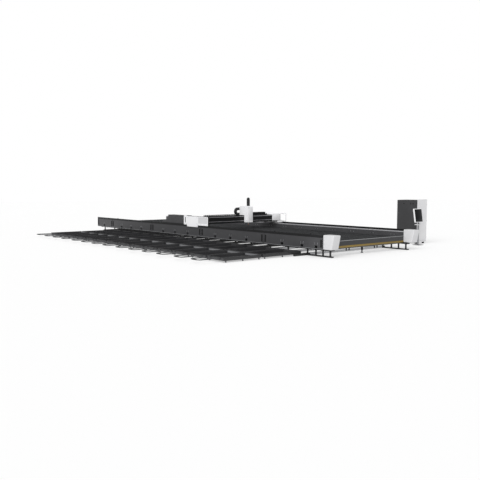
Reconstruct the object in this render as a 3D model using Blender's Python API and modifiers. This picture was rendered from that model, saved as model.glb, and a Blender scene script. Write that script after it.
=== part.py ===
"""Gantry fiber laser cutting machine with pull-out scrap drawers.

Metres, +Z up. The origin is the underside of the middle front foot, on the floor.
+X runs across the bed to the operator's side, +Y runs along the bed away from the front.
"""
import math

import bmesh
import bpy
from mathutils import Matrix, Vector

# Clearances and overlaps that many pieces share
GAP = 0.0003
EMBED = 0.004
OVERRUN = 0.02
FACING_UP = 0.5

# Bed: two long box beams, each made of sections bolted end to end
BED_WIDTH = 4.72
BEAM_WIDTH = 0.36
BEAM_BOTTOM = 0.283
BEAM_HEIGHT = 0.384
BEAM_WALL = 0.008
BED_FRONT_Y = -0.32
FRONT_SECTION = 3.00
MAIN_SECTION = 4.0
MAIN_SECTIONS = 3
REAR_SECTION = 1.716

# Openings in the outer side panels
BAY = 1.0
END_SLOT_INSET = 0.10
END_SLOT_WIDTH = 0.055
END_SLOT_HEIGHT = 0.24
CABLE_HOLE_WIDTH = 0.09
CABLE_HOLE_HEIGHT = 0.07
CABLE_HOLE_RISE = 0.035
FRONT_HOLE_INSET = 0.33
REAR_HOLE_INSET = 0.91

# Ledge on each beam's inner face, and the slat grate that lies on it
LEDGE_WIDTH = 0.05
LEDGE_THICK = 0.01
LEDGE_TOP = 0.39
GRATE_HEIGHT = 0.11
GRATE_RAIL = 0.03
GRATE_FRONT_Y = -0.24
SLAT_PITCH = 0.20
SLAT_THICK = 0.004
SLAT_HEIGHT = 0.08

# Guide rail with its rack, and the guard strip along the outer edge
RAIL_INSET = 0.06
RAIL_WIDTH = 0.034
RAIL_HEIGHT = 0.028
RAIL_BASE_WIDTH = 0.11
RAIL_BASE_THICK = 0.006
RACK_WIDTH = 0.022
RACK_HEIGHT = 0.020
GUARD_HEIGHT = 0.089
GUARD_THICK = 0.02
LUG_LENGTH = 0.06
LUG_HEIGHT = 0.035
LUG_INSET = 0.60

# White end caps in front of the beams
CAP_LENGTH = 0.46
CAP_WIDTH = 0.35
CAP_TOP = 0.766
CAP_RAKE = 0.10
CAP_WALL = 0.003
CAP_EDGE = 0.03

# Floor frames: sills under the beams, posts, and the guide bars that the drawers run between
SILL_WIDTH = 0.16
SILL_THICK = 0.06
POST_SIDE = 0.045
GUIDE_WIDTH = 0.07
GUIDE_HEIGHT = 0.08
GUIDE_REACH = 0.38
GUIDE_INSET = 0.06
STOP_X = 1.70
STOP_WIDTH = 0.05
REAR_TIE_INSET = 0.30
FRONT_BASE_REACH = 0.17
FLOOR_BAR_HEIGHT = 0.04
FLOOR_BAR_WIDTH = 0.10
FRONT_POSTS = 3
FRONT_POST_INSET = 0.11
FRONT_POST_STEP = 0.33
FRONT_TIE_WIDTH = 0.08
STUB_BOTTOM = 0.126
FOOT_SPACING = 0.775
FOOT_PAIR = 0.15
FOOT_RADIUS = 0.022
PAD_RADIUS = 0.05
PAD_THICK = 0.015
FOOT_SIDES = 12

# Front skirt with its raised stripe
SKIRT_BOTTOM = 0.252
SKIRT_TOP = 0.531
SKIRT_FLANGE = 0.06
SKIRT_SHEET = 0.004
STRIPE_CENTRE = 0.319
STRIPE_HEIGHT = 0.07
STRIPE_PROUD = 0.008

# Scrap drawers: two pans in line on wheels, with a bent tube handle
DRAWER_PITCH = 0.97
SECTION_DRAWERS = 4
FRONT_SECTION_DRAWERS = 2
DRAWER_TUCK = 0.02
INNER_PAN_LENGTH = 1.76
PAN_LENGTH = 1.54
PAN_HEIGHT = 0.105
PAN_SHEET = 0.004
HITCH_LENGTH = 0.07
HITCH_SIDE = 0.03
HITCH_SPREAD = 0.25
WHEEL_RADIUS = 0.0285
WHEEL_WIDTH = 0.022
WHEEL_INSET = 0.09
WHEEL_SIDES = 6
WHEELS_PER_SIDE = 3
HANDLE_REACH = 0.80
HANDLE_WIDTH = 0.50
HANDLE_RISE = 0.075
HANDLE_TUBE = 0.015
HANDLE_CORNER = 0.10
HANDLE_CORNER_STEPS = 3

# Gantry: trucks on the rails, and the hollow crossbeam on the trucks
GANTRY_Y = 6.66
BEAM_DEPTH = 0.54
CROSSBEAM_BOTTOM = 0.83
CROSSBEAM_HEIGHT = 0.27
CROSSBEAM_WALL = 0.008
TRUCK_WIDTH = 0.30
TRUCK_LEAD = 0.10
TRUCK_BACK = 1.22
TRUCK_TAIL = 1.90
TRUCK_TAIL_THICK = 0.035
SHOE_HEIGHT = 0.036
SHOE_WIDTH = 0.075
SHOE_LENGTH = 0.16

# Sheet covers on the gantry's ends
COVER_SHEET = 0.003
COVER_OUTSET = 0.05
COVER_EDGE = 0.012
COVER_PLATE = 0.012
MOTOR_COVER_TOP = 1.09
MOTOR_COVER_LENGTH = 0.46
SIDE_PLATE_LEAD = 0.54
SIDE_PLATE_TOP = 1.12
SIDE_PLATE_BOTTOM = 0.75
SIDE_PLATE_DROP = 0.672
RECESS_DEPTH = 0.006
RECESS_LENGTH = 0.66
RECESS_BORDER = 0.035
CABLE_ARM_LENGTH = 0.23
CABLE_ARM_TOP = 1.16
CABLE_ARM_SLOT_WIDTH = 0.06
CABLE_ARM_SLOT_HEIGHT = 0.24
CABLE_BOX_LENGTH = 1.44
CABLE_BOX_TOP = 1.12
CABLE_BOX_STEP_LENGTH = 0.18
CABLE_BOX_STEP_TOP = 0.95
CABLE_BOX_TOE_LENGTH = 0.29
CABLE_BOX_TOE_TOP = 0.86
RIGHT_COVER_WIDTH = 0.52
RIGHT_COVER_CLEARANCE = 0.173
RIGHT_COVER_LEAD = 0.015
RIGHT_COVER_LENGTH = 1.03
RIGHT_COVER_TOP = 1.145
RIGHT_PLATE_LEAD = 0.17
RIGHT_PLATE_BOTTOM = 0.755
RIGHT_PLATE_TOP = 1.17
RIGHT_PLATE_OUTSET = 0.012
RIGHT_PLATE_FLANGE = 0.04

# Cross axis: rail, carriage, head housing, cutting head and cable chains
X_RAIL_HEIGHT = 0.025
X_RAIL_DEPTH = 0.025
X_RAIL_DROP = 0.02
X_RAIL_INSET = 0.05
HEAD_X = 0.09
HEAD_WIDTH = 0.28
HEAD_FRONT = 0.30
HEAD_BOTTOM = 0.81
HEAD_NOTCH = 1.12
HEAD_TOP = 1.531
HEAD_OVERHANG = 0.30
HEAD_CHAMFER = 0.05
HEAD_SHEET = 0.003
CARRIAGE_THICK = 0.05
CARRIAGE_BOTTOM = 0.85
CARRIAGE_TOP = 1.38
SLIDE_PLATE_WIDTH = 0.14
SLIDE_PLATE_THICK = 0.03
SLIDE_PLATE_BOTTOM = 0.99
SLIDE_PLATE_TOP = 1.33
CUTTER_RADIUS = 0.048
CUTTER_NECK_RADIUS = 0.030
CUTTER_BOTTOM = 0.77
CUTTER_TOP = 1.28
CUTTER_SIDES = 16
NOZZLE_HEIGHT = 0.06
NOZZLE_RADIUS = 0.024
NOZZLE_TIP_RADIUS = 0.008
CHAIN_THICK = 0.08
CHAIN_WIDTH = 0.10
CHAIN_BEND_HEIGHT = 0.35
CHAIN_BEND_LEFT = 0.38
CHAIN_UPPER_RUN = 0.21
CHAIN_LOWER_RUN = 0.31
CHAIN_ARC_STEPS = 8
CHAIN_BRACKET_WIDTH = 0.10
CHAIN_BRACKET_HEIGHT = 0.10
TROUGH_WALL = 0.003
TROUGH_HEIGHT = 0.06
TROUGH_END_INSET = 0.06
DUCT_SIDE = 0.12
DUCT_LEFT_X = 0.30
TOWER_HEIGHT = 0.375
TOWER_SPAN = 0.15
TOWER_WIDTH = 0.06
TOWER_THICK = 0.055
TOWER_INSET = 0.04

# Electrical cabinet
CABINET_X = 4.396
CABINET_Y = 0.765
CABINET_WIDTH = 0.644
CABINET_DEPTH = 1.00
CABINET_TOP = 1.82
CABINET_SHEET = 0.003
CABINET_EDGE = 0.012
CABINET_FOOT_HEIGHT = 0.07
CABINET_FOOT_SIDE = 0.07
CABINET_FOOT_INSET = 0.04
DOOR_DEPTH = 0.03
DOOR_MARGIN = 0.006
DOOR_RISE = 0.03
DOOR_GRIP_WIDTH = 0.04
DOOR_GRIP_HEIGHT = 0.16
DOOR_GRIP_INSET = 0.05
DOOR_GRIP_Z = 0.95
LASER_WIDTH = 0.48
LASER_DEPTH = 0.80
LASER_HEIGHT = 0.40
LASER_SHEET = 0.003

# Operator console
CONSOLE_X = 4.12
CONSOLE_Y = 0.50
CONSOLE_BASE_SIDE = 0.32
CONSOLE_BASE_THICK = 0.012
CONSOLE_POST_SIDE = 0.05
CONSOLE_POST_WALL = 0.003
CONSOLE_POST_TOP = 1.06
PANEL_SHIFT = -0.13
TILT_AXIS_DROP = 0.03
HOUSING_STANDOFF = 0.06
HOUSING_WIDTH = 0.52
HOUSING_HEIGHT = 0.56
HOUSING_DEPTH = 0.06
HOUSING_DROP = 0.115
HOUSING_TILT = math.radians(9.0)
HOUSING_WALL = 0.010
HOUSING_EDGE = 0.012
SCREEN_BORDER = 0.020
SCREEN_THICK = 0.012
TILT_LUG_THICK = 0.012
TILT_LUG_HEIGHT = 0.05
SHELF_WIDTH = 0.34
SHELF_DEPTH = 0.20
SHELF_THICK = 0.03
SHELF_TOP = 0.86
BUTTON_RADIUS = 0.018
BUTTON_NECK_RADIUS = 0.011
BUTTON_NECK_HEIGHT = 0.014
BUTTON_HOLE_DEPTH = 0.022
BUTTON_LIFT = 0.007
BUTTON_CAP_HEIGHT = 0.016
BUTTON_SIDES = 12
BUTTON_INSET = 0.13

# Places that follow from the sizes above
HALF_BED = BED_WIDTH / 2
BEAM_TOP = BEAM_BOTTOM + BEAM_HEIGHT
INNER_X = HALF_BED - BEAM_WIDTH
SILL_X = INNER_X + SILL_WIDTH / 2
SECTION_LENGTHS = [FRONT_SECTION] + [MAIN_SECTION] * MAIN_SECTIONS + [REAR_SECTION]
BED_BACK_Y = BED_FRONT_Y + sum(SECTION_LENGTHS)
SILL_TOP = BEAM_BOTTOM - GAP
SILL_BOTTOM = SILL_TOP - SILL_THICK
DRAWER_WIDTH = DRAWER_PITCH - GUIDE_WIDTH - 2 * GAP
PAN_FLOOR = 2 * WHEEL_RADIUS - PAN_SHEET / 2
DRAWER_INNER_X = -HALF_BED + DRAWER_TUCK
CART_LENGTH = INNER_PAN_LENGTH + HITCH_LENGTH + PAN_LENGTH
RAIL_X = INNER_X + RAIL_INSET
RAIL_TOP = BEAM_TOP + GAP + RAIL_HEIGHT
SHOE_BOTTOM = RAIL_TOP + GAP
TRUCK_BOTTOM = SHOE_BOTTOM + SHOE_HEIGHT
TRUCK_TOP = CROSSBEAM_BOTTOM - GAP
CROSSBEAM_TOP = CROSSBEAM_BOTTOM + CROSSBEAM_HEIGHT
COVER_OUTER_X = HALF_BED + COVER_OUTSET
CROSSBEAM_END_X = COVER_OUTER_X - COVER_PLATE - GAP
RIGHT_COVER_HIGH_X = HALF_BED - GUARD_THICK - RIGHT_COVER_CLEARANCE
RIGHT_COVER_LOW_X = RIGHT_COVER_HIGH_X - RIGHT_COVER_WIDTH

# Finishes
FINISHES = {
    "bed_paint": ((0.058, 0.058, 0.060), 0.55, 0.0),
    "dark_paint": ((0.022, 0.022, 0.023), 0.50, 0.0),
    "black_steel": ((0.012, 0.012, 0.012), 0.60, 0.2),
    "drawer_steel": ((0.030, 0.030, 0.031), 0.55, 0.3),
    "white_paint": ((0.80, 0.80, 0.80), 0.40, 0.0),
    "grey_paint": ((0.65, 0.65, 0.66), 0.45, 0.0),
    "rail_steel": ((0.45, 0.45, 0.46), 0.30, 1.0),
    "slat_steel": ((0.10, 0.10, 0.10), 0.60, 0.6),
    "chain_plastic": ((0.010, 0.010, 0.010), 0.50, 0.0),
    "copper": ((0.60, 0.30, 0.16), 0.30, 1.0),
    "screen_glass": ((0.015, 0.015, 0.016), 0.10, 0.0),
    "button_dark": ((0.10, 0.06, 0.06), 0.40, 0.0),
    "head_metal": ((0.35, 0.35, 0.36), 0.35, 1.0),
}


def clear_scene():
    """Remove every object, mesh, curve and material of the start-up scene."""
    for thing in list(bpy.data.objects):
        bpy.data.objects.remove(thing, do_unlink=True)
    for store in (bpy.data.meshes, bpy.data.curves, bpy.data.materials):
        for block in list(store):
            store.remove(block)


def collection(name):
    """A new collection linked to the scene."""
    made = bpy.data.collections.new(name)
    bpy.context.scene.collection.children.link(made)
    return made


clear_scene()
MACHINE = collection("fiber_laser_cutting_machine")
CUTTERS = collection("cutters")


def material(slot):
    """The Principled material for one finish, made once."""
    if slot in bpy.data.materials:
        return bpy.data.materials[slot]
    colour, roughness, metallic = FINISHES[slot]
    made = bpy.data.materials.new(slot)
    made.use_nodes = True
    shader = made.node_tree.nodes["Principled BSDF"]
    shader.inputs["Base Color"].default_value = (*colour, 1.0)
    shader.inputs["Roughness"].default_value = roughness
    shader.inputs["Metallic"].default_value = metallic
    made.diffuse_color = (*colour, 1.0)
    return made


def place(name, mesh, location, slot):
    """A named sub-part at its location, with its finish."""
    mesh.name = name
    made = bpy.data.objects.new(name, mesh)
    made.location = location
    MACHINE.objects.link(made)
    mesh.materials.clear()
    mesh.materials.append(material(slot))
    return made


def helper(name, mesh, location=(0, 0, 0)):
    """A hidden solid that a Boolean modifier reads."""
    made = bpy.data.objects.new(name, mesh)
    made.location = location
    made.hide_render = True
    made.display_type = "WIRE"
    CUTTERS.objects.link(made)
    return made


def add_box(bm, low, high):
    """Add a cube primitive stretched between two corners."""
    low, high = Vector(low), Vector(high)
    stretch = Matrix.Translation((low + high) / 2) @ Matrix.Diagonal((*(high - low), 1))
    return bmesh.ops.create_cube(bm, size=1, matrix=stretch)["verts"]


def boxes_mesh(name, corners):
    """One mesh that holds a box for each pair of corners."""
    bm = bmesh.new()
    for low, high in corners:
        add_box(bm, low, high)
    return bm_to_mesh(bm, name)


def bm_to_mesh(bm, name):
    """Write a bmesh out as a mesh."""
    mesh = bpy.data.meshes.new(name)
    bm.to_mesh(mesh)
    bm.free()
    return mesh


def box(name, low, high, slot):
    """A solid block whose origin is its lowest corner."""
    size = Vector(high) - Vector(low)
    return place(name, boxes_mesh(name, [((0, 0, 0), size)]), low, slot)


def boolean(target, other, operation):
    """Join or cut the target with a helper solid."""
    made = target.modifiers.new(operation.lower(), "BOOLEAN")
    made.operation = operation
    made.solver = "EXACT"
    made.object = other


def fuse(target, corners):
    """Weld boxes, given in world corners, onto the target."""
    boolean(target, helper(target.name + "_weld", boxes_mesh("weld", corners)), "UNION")


def cut(target, corners):
    """Cut boxes, given in world corners, out of the target."""
    boolean(target, helper(target.name + "_cut", boxes_mesh("cut", corners)), "DIFFERENCE")


def solidify(target, wall):
    """Give an open surface its sheet thickness, inward."""
    made = target.modifiers.new("sheet", "SOLIDIFY")
    made.thickness = wall
    made.offset = -1
    made.use_even_offset = True


def bevel(target, width, segments=1):
    """Round the sharp edges."""
    made = target.modifiers.new("edges", "BEVEL")
    made.width = width
    made.segments = segments
    made.limit_method = "ANGLE"
    made.harden_normals = False


def open_box(name, low, high, open_sides, wall, slot, edge=0.0, segments=1):
    """A sheet box without the sides named by their outward normals."""
    bm = bmesh.new()
    size = Vector(high) - Vector(low)
    add_box(bm, (0, 0, 0), size)
    bm.normal_update()
    gone = [face for face in bm.faces
            if any(face.normal.dot(Vector(side)) > math.cos(math.radians(1)) for side in open_sides)]
    bmesh.ops.delete(bm, geom=gone, context="FACES")
    made = place(name, bm_to_mesh(bm, name), low, slot)
    if edge:
        bevel(made, edge, segments)
    solidify(made, wall)
    return made


def prism_bm(outline, width, axis):
    """Extrude a closed outline along X or Y. The outline's two numbers are the other axes."""
    bm = bmesh.new()
    if axis == "X":
        corners = [bm.verts.new((0, u, v)) for u, v in outline]
        along = Vector((width, 0, 0))
    else:
        corners = [bm.verts.new((u, 0, v)) for u, v in outline]
        along = Vector((0, width, 0))
    face = bm.faces.new(corners)
    grown = bmesh.ops.extrude_face_region(bm, geom=[face])
    moved = [item for item in grown["geom"] if isinstance(item, bmesh.types.BMVert)]
    bmesh.ops.translate(bm, verts=moved, vec=along)
    bmesh.ops.recalc_face_normals(bm, faces=bm.faces)
    return bm


def prism(name, outline, width, axis, location, slot):
    """A solid with one outline all along its width."""
    return place(name, bm_to_mesh(prism_bm(outline, width, axis), name), location, slot)


def prism_shell(name, outline, width, location, slot, wall, open_edges):
    """A sheet casing with an outline in YZ, without the sides on the outline's given edges."""
    bm = prism_bm(outline, width, "X")
    count = len(outline)
    gone = []
    for index in open_edges:
        a = Vector(outline[index])
        b = Vector(outline[(index + 1) % count])
        middle = Vector((width / 2, (a.x + b.x) / 2, (a.y + b.y) / 2))
        gone.append(min(bm.faces, key=lambda face: (face.calc_center_median() - middle).length))
    bmesh.ops.delete(bm, geom=gone, context="FACES")
    made = place(name, bm_to_mesh(bm, name), location, slot)
    solidify(made, wall)
    return made


def section_spans():
    """Front and back Y of each bed section, front one first."""
    front = BED_FRONT_Y
    spans = []
    for length in SECTION_LENGTHS:
        spans.append((front, front + length))
        front += length
    return spans


def bed_beam(side, number, front, back):
    """One section of a side beam: a hollow box with panel openings and a ledge inside."""
    name = ("left" if side < 0 else "right") + "_bed_beam_%d" % number
    low_x, high_x = sorted((side * INNER_X, side * HALF_BED))
    front += GAP / 2
    back -= GAP / 2
    beam = box(name, (low_x, front, BEAM_BOTTOM), (high_x, back, BEAM_TOP), "bed_paint")
    cut(beam, [((low_x + BEAM_WALL, front + BEAM_WALL, BEAM_BOTTOM + BEAM_WALL),
                (high_x - BEAM_WALL, back - BEAM_WALL, BEAM_TOP - BEAM_WALL))])
    outer = side * HALF_BED
    reach = BEAM_WALL + OVERRUN / 2
    slot_low = (BEAM_BOTTOM + BEAM_TOP - END_SLOT_HEIGHT) / 2
    slots = [(y, END_SLOT_WIDTH, slot_low, slot_low + END_SLOT_HEIGHT)
             for y in (front + END_SLOT_INSET, back - END_SLOT_INSET)]
    hole_low = BEAM_BOTTOM + CABLE_HOLE_RISE
    slots += [(y, CABLE_HOLE_WIDTH, hole_low, hole_low + CABLE_HOLE_HEIGHT)
              for y in hole_places(number, front, back)]
    cut(beam, [((outer - reach, y - width / 2, low), (outer + reach, y + width / 2, high))
               for y, width, low, high in slots])
    inner = side * INNER_X
    ledge_end = inner - side * LEDGE_WIDTH
    root = inner + side * EMBED
    fuse(beam, [((min(ledge_end, root), max(front, GRATE_FRONT_Y), LEDGE_TOP - LEDGE_THICK),
                 (max(ledge_end, root), back, LEDGE_TOP))])


def hole_places(number, front, back):
    """Y of the cable holes in one section: one a bay, counted from its far end."""
    if number == len(SECTION_LENGTHS):
        return [front + REAR_HOLE_INSET]
    bays = int((back - front - END_SLOT_INSET) / BAY)
    places = [back - bay * BAY for bay in range(1, bays + 1)]
    if number == 1:
        places.append(front + FRONT_HOLE_INSET)
    return places


def slat_grate():
    """The cutting table: a frame lying on the ledges, with upright slats from side to side."""
    half = INNER_X - GAP
    low_z = LEDGE_TOP + GAP
    high_z = low_z + GRATE_HEIGHT
    back = BED_BACK_Y - BEAM_WALL
    grate = box("slat_grate", (-half, GRATE_FRONT_Y, low_z), (half, back, high_z), "slat_steel")
    cut(grate, [((-half + GRATE_RAIL, GRATE_FRONT_Y + GRATE_RAIL, low_z - OVERRUN),
                 (half - GRATE_RAIL, back - GRATE_RAIL, high_z + OVERRUN))])
    reach = half - GRATE_RAIL + EMBED
    room = back - GRATE_FRONT_Y - 2 * GRATE_RAIL
    count = int(room / SLAT_PITCH)
    first = GRATE_FRONT_Y + GRATE_RAIL + (room - (count - 1) * SLAT_PITCH) / 2
    slats = []
    for index in range(count):
        y = first + index * SLAT_PITCH
        slats.append(((-reach, y - SLAT_THICK / 2, high_z - SLAT_HEIGHT - EMBED),
                      (reach, y + SLAT_THICK / 2, high_z - EMBED)))
    fuse(grate, slats)


def guide_rail(side):
    """A ground rail and its rack on one base strip, along the whole bed."""
    name = ("left" if side < 0 else "right") + "_guide_rail"
    half = RAIL_WIDTH / 2
    rack_start = RAIL_BASE_WIDTH - half - RACK_WIDTH
    rack_top = RAIL_BASE_THICK + RACK_HEIGHT
    outline = [(-half, 0), (-half, RAIL_HEIGHT), (half, RAIL_HEIGHT), (half, RAIL_BASE_THICK),
               (rack_start, RAIL_BASE_THICK), (rack_start, rack_top),
               (rack_start + RACK_WIDTH, rack_top), (rack_start + RACK_WIDTH, 0)]
    outline = [(side * x, z) for x, z in outline]
    prism(name, outline, BED_BACK_Y - BED_FRONT_Y, "Y",
          (side * RAIL_X, BED_FRONT_Y, BEAM_TOP + GAP), "rail_steel")


def outer_guard(side):
    """The dark strip along the beam's outer edge. The left one carries the lifting lugs."""
    name = ("left" if side < 0 else "right") + "_outer_guard"
    outer = side * HALF_BED
    inner = outer - side * GUARD_THICK
    low_x, high_x = min(outer, inner), max(outer, inner)
    low_z = BEAM_TOP + GAP
    top = low_z + GUARD_HEIGHT
    guard = box(name, (low_x, BED_FRONT_Y, low_z), (high_x, BED_BACK_Y, top), "dark_paint")
    if side > 0:
        return
    lugs = []
    for front, back in section_spans()[:-1]:
        for y in (front + LUG_INSET, back - LUG_INSET):
            lugs.append(((low_x + EMBED, y - LUG_LENGTH / 2, top - EMBED),
                         (high_x - EMBED, y + LUG_LENGTH / 2, top + LUG_HEIGHT)))
    fuse(guard, lugs)


def end_cap(side):
    """A white sheet cap in front of one beam, raked back at its foot and open to the beam."""
    name = ("left" if side < 0 else "right") + "_end_cap"
    low_x = side * HALF_BED - (CAP_WIDTH if side > 0 else 0)
    height = CAP_TOP - BEAM_BOTTOM
    bm = bmesh.new()
    verts = add_box(bm, (0, 0, 0), (CAP_WIDTH, CAP_LENGTH, height))
    for vert in verts:
        if vert.co.y < CAP_LENGTH / 2 and vert.co.z < height / 2:
            vert.co.y += CAP_RAKE
    bm.normal_update()
    back = [face for face in bm.faces if face.calc_center_median().y > CAP_LENGTH - EMBED]
    bmesh.ops.delete(bm, geom=back, context="FACES")
    cap = place(name, bm_to_mesh(bm, name), (low_x, BED_FRONT_Y - GAP - CAP_LENGTH, BEAM_BOTTOM),
                "white_paint")
    bevel(cap, CAP_EDGE, 2)
    solidify(cap, CAP_WALL)


def front_skirt():
    """Folded front sheet between the beams, with its raised stripe."""
    face, sheet = BED_FRONT_Y, SKIRT_SHEET
    low, high = STRIPE_CENTRE - STRIPE_HEIGHT / 2, STRIPE_CENTRE + STRIPE_HEIGHT / 2
    proud = face - STRIPE_PROUD
    outline = [(face, SKIRT_BOTTOM), (face, low), (proud, low), (proud, high), (face, high),
               (face, SKIRT_TOP), (face + SKIRT_FLANGE, SKIRT_TOP),
               (face + SKIRT_FLANGE, SKIRT_TOP - sheet), (face + sheet, SKIRT_TOP - sheet),
               (face + sheet, SKIRT_BOTTOM)]
    half = INNER_X - GAP
    prism("front_skirt", outline, 2 * half, "X", (-half, 0, 0), "dark_paint")


def guide_places(back, count):
    """Y of the guide bars of one section, from its far end, one more than its drawers."""
    return [back - GUIDE_INSET - index * DRAWER_PITCH for index in range(count + 1)]


def drawers_in(number):
    """How many drawers the numbered section holds."""
    if number == 1:
        return FRONT_SECTION_DRAWERS
    if number == len(SECTION_LENGTHS):
        return 0
    return SECTION_DRAWERS


def post_corners(x, y, low, high):
    """A square post between two heights."""
    half = POST_SIDE / 2
    return (x - half, y - half, low), (x + half, y + half, high)


def floor_frame(number, front, back):
    """Sills under both beams, posts, and the floor bars that carry and guide the drawers."""
    sill_front = front + GAP / 2
    if number == 1:
        sill_front = front - FRONT_BASE_REACH
    half_sill = SILL_WIDTH / 2
    sills = [((side * SILL_X - half_sill, sill_front, SILL_BOTTOM),
              (side * SILL_X + half_sill, back - GAP / 2, SILL_TOP)) for side in (-1, 1)]
    name = "floor_frame_%d" % number
    frame = place(name, boxes_mesh(name, sills), (0, 0, 0), "black_steel")
    count = drawers_in(number)
    if count:
        bars = guide_places(back, count)
        left_end = -HALF_BED - GUIDE_REACH
    else:
        bars = [front + REAR_TIE_INSET, back - REAR_TIE_INSET]
        left_end = -SILL_X - half_sill
    posts = [post_corners(side * SILL_X, y, GUIDE_HEIGHT - EMBED, SILL_BOTTOM + EMBED)
             for y in bars for side in (-1, 1)]
    fuse(frame, posts)
    half_bar = GUIDE_WIDTH / 2
    fuse(frame, [((left_end, y - half_bar, 0), (SILL_X + half_sill, y + half_bar, GUIDE_HEIGHT))
                 for y in bars])
    if count:
        fuse(frame, [((STOP_X, bars[-1], EMBED), (STOP_X + STOP_WIDTH, bars[0], GUIDE_HEIGHT - EMBED))])
    if number == 1:
        front_base(frame, sill_front, bars[-1])


def front_base(frame, sill_front, last_bar):
    """Floor bars and posts under the caps, and the cross tie with its feet under the skirt."""
    half_bar = FLOOR_BAR_WIDTH / 2
    posts = []
    for side in (-1, 1):
        for step in range(FRONT_POSTS):
            y = sill_front + FRONT_POST_INSET + step * FRONT_POST_STEP
            posts.append(post_corners(side * SILL_X, y, FLOOR_BAR_HEIGHT - EMBED, SILL_BOTTOM + EMBED))
    fuse(frame, posts)
    fuse(frame, [((side * SILL_X - half_bar, sill_front, 0),
                  (side * SILL_X + half_bar, last_bar, FLOOR_BAR_HEIGHT)) for side in (-1, 1)])
    tie_top = SILL_TOP - EMBED
    tie_bottom = SILL_BOTTOM + EMBED
    reach = SILL_X
    fuse(frame, [((-reach, -FRONT_TIE_WIDTH / 2, tie_bottom), (reach, FRONT_TIE_WIDTH / 2, tie_top))])
    bm = bmesh.new()
    add_turned(bm, (0, 0), [(PAD_RADIUS, 0), (PAD_RADIUS, PAD_THICK),
                            (FOOT_RADIUS, PAD_THICK), (FOOT_RADIUS, tie_bottom + EMBED)], FOOT_SIDES)
    for side in (-1, 1):
        for step in (-1, 1):
            x = side * (FOOT_SPACING + step * FOOT_PAIR / 2)
            add_turned(bm, (x, 0), [(FOOT_RADIUS, STUB_BOTTOM), (FOOT_RADIUS, tie_bottom + EMBED)],
                       FOOT_SIDES)
    boolean(frame, helper(frame.name + "_feet", bm_to_mesh(bm, "feet")), "UNION")


def add_turned(bm, centre, profile, sides):
    """Add a turned solid: a profile of radius and height pairs, spun about a vertical line."""
    rings = []
    for radius, z in profile:
        ring = bmesh.ops.create_circle(bm, cap_ends=False, segments=sides, radius=radius,
                                       matrix=Matrix.Translation((centre[0], centre[1], z)))["verts"]
        rings.append(ring)
    new_faces = [bm.faces.new(list(reversed(rings[0]))), bm.faces.new(rings[-1])]
    for low, high in zip(rings, rings[1:]):
        for index in range(sides):
            after = (index + 1) % sides
            new_faces.append(bm.faces.new((low[index], low[after], high[after], high[index])))
    bmesh.ops.recalc_face_normals(bm, faces=new_faces)


def handle_mesh():
    """The drawer's bent tube handle, with its ends run into the pan's end wall."""
    x_wall = -CART_LENGTH + EMBED
    x_end = -CART_LENGTH - HANDLE_REACH
    half = HANDLE_WIDTH / 2
    route = [(x_wall, -half)]
    for side in (-1, 1):
        for step in range(HANDLE_CORNER_STEPS + 1):
            turn = math.pi / 2 * step / HANDLE_CORNER_STEPS
            if side > 0:
                turn = math.pi / 2 - turn
            route.append((x_end + HANDLE_CORNER * (1 - math.sin(turn)),
                          side * (half - HANDLE_CORNER * (1 - math.cos(turn)))))
    route.append((x_wall, half))
    curve = bpy.data.curves.new("handle", "CURVE")
    curve.dimensions = "3D"
    curve.bevel_depth = HANDLE_TUBE
    curve.bevel_resolution = 1
    curve.use_fill_caps = True
    spline = curve.splines.new("POLY")
    spline.points.add(len(route) - 1)
    for point, (x, y) in zip(spline.points, route):
        point.co = (x, y, PAN_FLOOR + HANDLE_RISE, 1)
    wire = bpy.data.objects.new("handle", curve)
    CUTTERS.objects.link(wire)
    bpy.context.view_layer.update()
    mesh = bpy.data.meshes.new_from_object(wire.evaluated_get(bpy.context.evaluated_depsgraph_get()))
    bpy.data.objects.remove(wire)
    return mesh


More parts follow.
